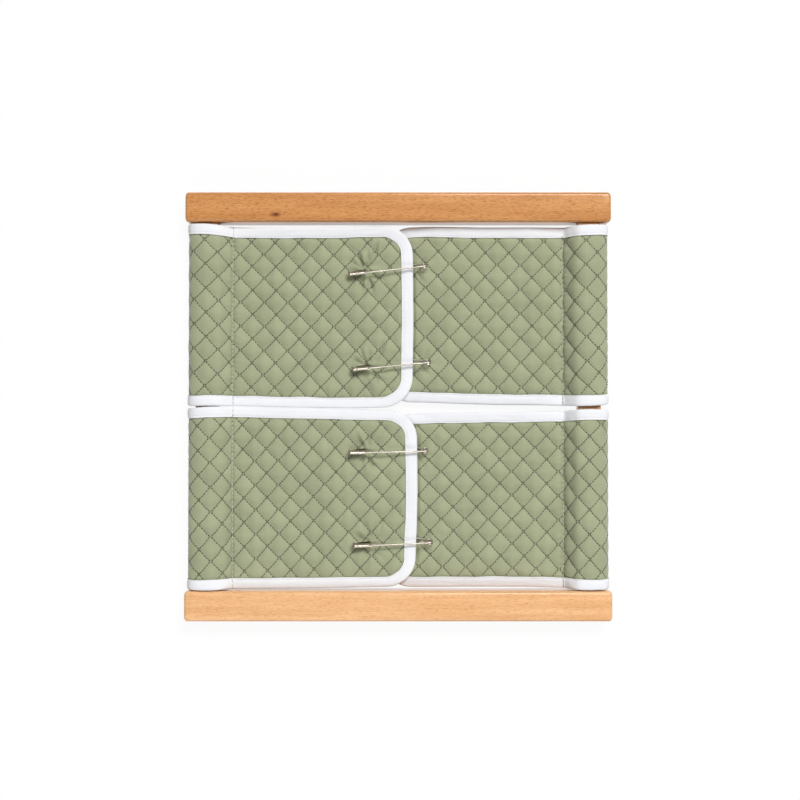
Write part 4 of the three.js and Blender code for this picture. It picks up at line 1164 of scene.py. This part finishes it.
class OBJECT_OT_frame_finishes(bpy.types.Operator):
    """Make the materials and give the CAD pieces theirs"""
    bl_idname = "object.frame_finishes"
    bl_label = "Finishes"

    def execute(self, context):
        sizes = context.scene.frame_sizes
        beech("beech_top_rail", sizes.top_rail, 0.9, knot=KNOT)
        beech("beech_bottom_rail", sizes.bottom_rail, 0.5)
        beech("beech_bars", sizes.bars, 0.8, turned=True)
        woven("sage_quilted_cotton", sizes.cloth, 0.84, 0.52, 0.9, 0.3)
        woven("white_bias_tape", sizes.tape, 0.94, 0.92, 0.85, 0.1)
        thread("quilting_thread", sizes.quilting)
        thread("tape_thread", linear("#e4e5e8"))
        thread("seam_thread", linear("#ccd0b8"))
        plated("nickel_plated_wire", sizes.wire, 0.38, 2.5)
        plated("nickel_plated_head", shade(sizes.wire, (0.95, 0.93, 0.9)), 0.3, 2.0)
        # Dull steel for a head's inside and the needle's stretch within it, its dark colour painted shade.
        plated("dull_and_painted_shade_inside", shade(sizes.wire, (0.17, 0.13, 0.12)), 0.55, 1.66667)
        plated("zinc_plated_screws", linear("#b8b8bc"), 0.35, 1.11111)
        for name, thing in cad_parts.items():
            if name.endswith("_rail"):
                finish = "beech_" + name
            elif name.endswith("_bar"):
                finish = "beech_bars"
            elif name.startswith("pin_"):
                finish = "nickel_plated_wire"
            elif name.endswith("_screw"):
                finish = "zinc_plated_screws"
            elif name.endswith("_binding"):
                finish = "white_bias_tape"
            else:
                finish = "sage_quilted_cotton"
            thing.data.materials.clear()
            thing.data.materials.append(bpy.data.materials[finish])
        return {"FINISHED"}


def swing(piece):
    """Bakes a finished piece of a flap's place into its mesh."""
    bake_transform(piece)


def on_face(panel, front=True, over=0.02):
    """The height at which a thread lies on one face of the cloth, as a function of a cloth point."""
    return lambda x, y: cloth_rise(panel, x, y, front)[0] + over


def on_tape(x, y):
    """The height at which the tape's thread lies: in the tape's dip."""
    return np.full_like(x, HEM_HEIGHT)


def on_seam(panel):
    """The height at which the bar seam's thread lies, as a function of a cloth point: over the tape
    at both ends of the seam, and over the cloth between them."""
    cloth = on_face(panel, over=0.05)
    clear = HEIGHT[panel["side"]] / 2 - TAPE_WIDTH - 0.15
    return lambda x, y: np.where(np.abs(y) > clear, TAPE_HALF, cloth(x, y))


def cloth_step():
    """How far apart the points of the cloth's meshes are."""
    return CLOTH_STEP


class OBJECT_OT_frame_flaps(bpy.types.Operator):
    """Make the four quilted flaps with their tape and stitching"""
    bl_idname = "object.frame_flaps"
    bl_label = "Flaps"

    def execute(self, context):
        sizes = context.scene.frame_sizes
        step, radius = cloth_step(), sizes.thread / MM
        for panel in PANELS:
            name = panel["name"]
            width, height = SEAM_X + panel["reach"], HEIGHT[panel["side"]]
            half = height / 2 - CLOTH_INSET
            xs = np.linspace(-SEAM_X, panel["reach"] - CLOTH_INSET, round(width / step))
            ys = np.linspace(-half, half, round(2 * half / step))
            points, faces, uv, quilt = sheet_grid(panel, xs, ys, flap_points, True)
            cloth = new_object(name + "_quilted_flap", points, faces, "sage_quilted_cotton", uv, quilt)
            edge, inwards, run = flap_edge(panel)
            seed = 70 + panel["row"] + panel["side"]
            points, faces, uv = tape_mesh(panel, edge, inwards, run, flap_points, seed)
            rise = np.ones(len(points))
            tape = new_object(name + "_flap_tape", points, faces, "white_bias_tape", uv, rise)
            a, b = quilt_stitches(panel, -SEAM_X + SEAM_CLEAR, panel["reach"])
            front = surface_stitches(panel, a, b, flap_points, on_face(panel), radius)
            back = surface_stitches(panel, a, b, flap_points, on_face(panel, False), radius, back=True)
            points, faces = joined(front, back)
            quilting_rows = new_object(name + "_flap_quilting", points, faces, "quilting_thread")
            row = edge + inwards * (tape_width(panel, edge[:, :1]) - (TAPE_WIDTH - STITCH_LINE))
            a, b = line_stitches(row, run, sizes.hem_pitch / MM, HEM_SHARE)
            points, faces = surface_stitches(panel, a, b, flap_points, on_tape, HEM_THREAD)
            hem = new_object(name + "_flap_hem_stitches", points, faces, "tape_thread")
            for piece in (cloth, tape, quilting_rows, hem):
                swing(piece)
            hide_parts(name + "_flap")
            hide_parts(name + "_flap_binding")
        return {"FINISHED"}


class OBJECT_OT_frame_sleeves(bpy.types.Operator):
    """Make the four sleeves round the bars with their tape and stitching"""
    bl_idname = "object.frame_sleeves"
    bl_label = "Sleeves"

    def execute(self, context):
        step, radius = cloth_step(), context.scene.frame_sizes.thread / MM
        tape_step = SLEEVE_TAPE_STEP
        for panel in PANELS:
            name = panel["name"]
            _, run = sleeve_line(panel)
            half = HEIGHT[panel["side"]] / 2 - CLOTH_INSET
            xs = np.linspace(-SEAM_X - run[-1], -SEAM_X, round(run[-1] / step))
            ys = np.linspace(-half, half, round(2 * half / step))
            points, faces, uv, quilt = sheet_grid(panel, xs, ys, sleeve_points, False)
            cloth = new_object(name + "_quilted_sleeve", points, faces, "sage_quilted_cotton", uv, quilt)
            for end, word in ((1, "top"), (-1, "bottom")):
                along = -SEAM_X - np.arange(0, run[-1] + 0.01, tape_step)
                edge = np.stack([along, np.full_like(along, end * (half + CLOTH_INSET))], 1)
                inwards = np.tile([(0.0, -float(end))], (len(along), 1))
                length = -SEAM_X - along
                if end > 0:
                    edge, inwards, length = edge[::-1], inwards[::-1], length[::-1]
                points, faces, uv = tape_mesh(panel, edge, inwards, length, sleeve_points, 80 + end)
                rise = np.ones(len(points))
                tape = new_object(f"{name}_sleeve_{word}_tape", points, faces, "white_bias_tape", uv, rise)
                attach(tape, "frame")
                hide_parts(f"{name}_sleeve_{word}_binding")
            a, b = quilt_stitches(panel, -SEAM_X - run[-1] + TAIL_CLEAR, -SEAM_X - SEAM_CLEAR)
            points, faces = surface_stitches(panel, a, b, sleeve_points, on_face(panel), radius)
            quilting_rows = new_object(name + "_sleeve_quilting", points, faces, "quilting_thread")
            up = np.linspace(-half, half, 200)
            seam_line = np.stack([np.full_like(up, -SEAM_X - 0.05), up], 1)
            a, b = line_stitches(seam_line, up + half, SEAM_PITCH, SEAM_SHARE, SEAM_START)
            points, faces = surface_stitches(panel, a, b, sleeve_points, on_seam(panel), SEAM_THREAD)
            seam = new_object(name + "_bar_seam_stitches", points, faces, "seam_thread")
            for piece in (cloth, quilting_rows, seam):
                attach(piece, "frame")
            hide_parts(name + "_sleeve")
        return {"FINISHED"}


class OBJECT_OT_frame_rails(bpy.types.Operator):
    """Make the two rails with their sanded edges and countersunk holes"""
    bl_idname = "object.frame_rails"
    bl_label = "Rails"

    def execute(self, context):
        for row, word in ((1, "top_rail"), (-1, "bottom_rail")):
            rail = new_object("beech_" + word, *rail_mesh(row), "beech_" + word)
            cutters = [new_object("cut", *screw_cut(side, row), "beech_" + word) for side in (-1, 1)]
            for cutter in cutters:
                cut = rail.modifiers.new("hole", "BOOLEAN")
                cut.operation, cut.solver, cut.object = "DIFFERENCE", "EXACT", cutter
            context.view_layer.update()
            shaped = rail.evaluated_get(context.evaluated_depsgraph_get())
            mesh = bpy.data.meshes.new_from_object(shaped)
            rail.modifiers.clear()
            rail.data = mesh
            for cutter in cutters:
                bpy.data.objects.remove(cutter)
            if len(mesh.polygons) < 1000:
                raise RuntimeError("the rail's holes could not be cut")
            mesh.polygons.foreach_set("use_smooth", [True] * len(mesh.polygons))
            mesh.set_sharp_from_angle(angle=SHARP_WOOD)
            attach(rail, "frame")
            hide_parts(word)
        return {"FINISHED"}


class OBJECT_OT_frame_pins(bpy.types.Operator):
    """Make the four safety pins: needle, back arm and pressed head"""
    bl_idname = "object.frame_pins"
    bl_label = "Safety pins"

    def execute(self, context):
        for letter, pin in PINS.items():
            parts = {}
            for part, (path, radii) in (("needle", needle_path()), ("back", back_path())):
                points, faces = wire_mesh(path, radii)
                placed = pin_place(points, pin)
                wire = new_object(f"pin_{letter}_{part}_wire", placed, faces, "nickel_plated_wire")
                wire.data.materials.append(bpy.data.materials["dull_and_painted_shade_inside"])
                # The needle's stretch inside the head is darkened with painted shade.
                if part == "needle":
                    first = points[np.vstack([f for f in faces if f.shape[1] == 4])[:, 0], 0]
                    slots = np.zeros(len(wire.data.polygons), np.int32)
                    slots[:len(first)] = first < -(BACK - HEAD)
                    wire.data.polygons.foreach_set("material_index", slots)
                parts[part] = wire
            points, faces, inside = head_mesh()
            placed = pin_place(points, pin)
            head = new_object(f"pin_{letter}_pressed_head", placed, faces, "nickel_plated_head")
            # The head's inside faces are dull steel, darkened with painted shade.
            head.data.materials.append(bpy.data.materials["dull_and_painted_shade_inside"])
            slots = np.zeros(len(head.data.polygons), np.int32)
            slots[:len(inside)] = inside
            head.data.polygons.foreach_set("material_index", slots)
            head.data.set_sharp_from_angle(angle=SHARP_METAL)
            parts["head"] = head
            for part, thing in parts.items():
                body = f"pin_{letter}_arm" if part != "needle" else f"{pin['row']}_left_leaf"
                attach(thing, body)
                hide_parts(f"pin_{letter}_{part}")
        return {"FINISHED"}


class OBJECT_OT_frame_stage(bpy.types.Operator):
    """Set the white ground, the lamps and the camera that looks straight down"""
    bl_idname = "object.frame_stage"
    bl_label = "Stage"

    def execute(self, context):
        sizes = context.scene.frame_sizes
        white_ground("white_paper_sweep")
        square = np.array([(-1, -1), (1, -1), (1, 1), (-1, 1)]) * GROUND_HALF
        corners = np.column_stack([square, np.full(4, -GROUND_DROP)])
        ground = new_object("paper_sweep", corners, np.array([[0, 1, 2, 3]]), "white_paper_sweep")
        world = bpy.data.worlds.new("studio")
        world.use_nodes = True
        sky = world.node_tree.nodes["Background"]
        sky.inputs["Color"].default_value = (1, 1, 1, 1)
        seen = node(world.node_tree, "ShaderNodeLightPath").outputs["Is Camera Ray"]
        strength = node(world.node_tree, "ShaderNodeMapRange", inputs={
            "Value": seen, "To Min": sizes.room, "To Max": 1.0})
        world.node_tree.links.new(strength.outputs["Result"], sky.inputs["Strength"])
        context.scene.world = world
        for name, power, size, place in (
                ("soft_box", sizes.lamp, SOFT_BOX_SIZE, SOFT_BOX_AT),
                ("fill", sizes.fill, FILL_SIZE, FILL_AT)):
            lamp = bpy.data.lights.new(name, "AREA")
            lamp.shape, lamp.size, lamp.size_y = "RECTANGLE", *size
            lamp.energy = power
            box = bpy.data.objects.new(name, lamp)
            box.location = place
            box.rotation_euler = (-box.location).to_track_quat("-Z", "Y").to_euler()
            context.scene.collection.objects.link(box)
        lens = bpy.data.cameras.new("camera")
        lens.lens = sizes.lens
        lens.sensor_width = 36
        lens.clip_start = 0.01
        camera = bpy.data.objects.new("camera", lens)
        away = Vector((0, -math.sin(CAMERA_TILT), math.cos(CAMERA_TILT)))
        camera.location = Vector(CAMERA_AIM) * MM + away * CAMERA_DISTANCE
        camera.rotation_euler = (CAMERA_TILT, 0, 0)
        context.scene.collection.objects.link(camera)
        context.scene.camera = camera
        context.scene.view_settings.view_transform = "Standard"
        return {"FINISHED"}


class VIEW3D_PT_dressing_frame(bpy.types.Panel):
    """Lists the frame's sizes and its steps"""
    bl_label = "Dressing frame"
    bl_space_type = "VIEW_3D"
    bl_region_type = "UI"
    bl_category = "Dressing frame"

    def draw(self, context):
        sizes = context.scene.frame_sizes
        for name in FrameSizes.__annotations__:
            self.layout.prop(sizes, name)
        for step in STEPS:
            self.layout.operator(step.bl_idname)


STEPS = (OBJECT_OT_frame_finishes, OBJECT_OT_frame_rails, OBJECT_OT_frame_flaps, OBJECT_OT_frame_sleeves,
         OBJECT_OT_frame_pins, OBJECT_OT_frame_stage)
CLASSES = (FrameSizes, *STEPS, VIEW3D_PT_dressing_frame)


def register():
    for kind in CLASSES:
        bpy.utils.register_class(kind)
    bpy.types.Scene.frame_sizes = bpy.props.PointerProperty(type=FrameSizes)


def unregister():
    del bpy.types.Scene.frame_sizes
    for kind in reversed(CLASSES):
        bpy.utils.unregister_class(kind)


def main():
    """Runs every step in order."""
    register()
    bpy.ops.object.frame_finishes()
    bpy.ops.object.frame_rails()
    bpy.ops.object.frame_flaps()
    bpy.ops.object.frame_sleeves()
    bpy.ops.object.frame_pins()
    bpy.ops.object.frame_stage()


if __name__ == "__main__":
    main()
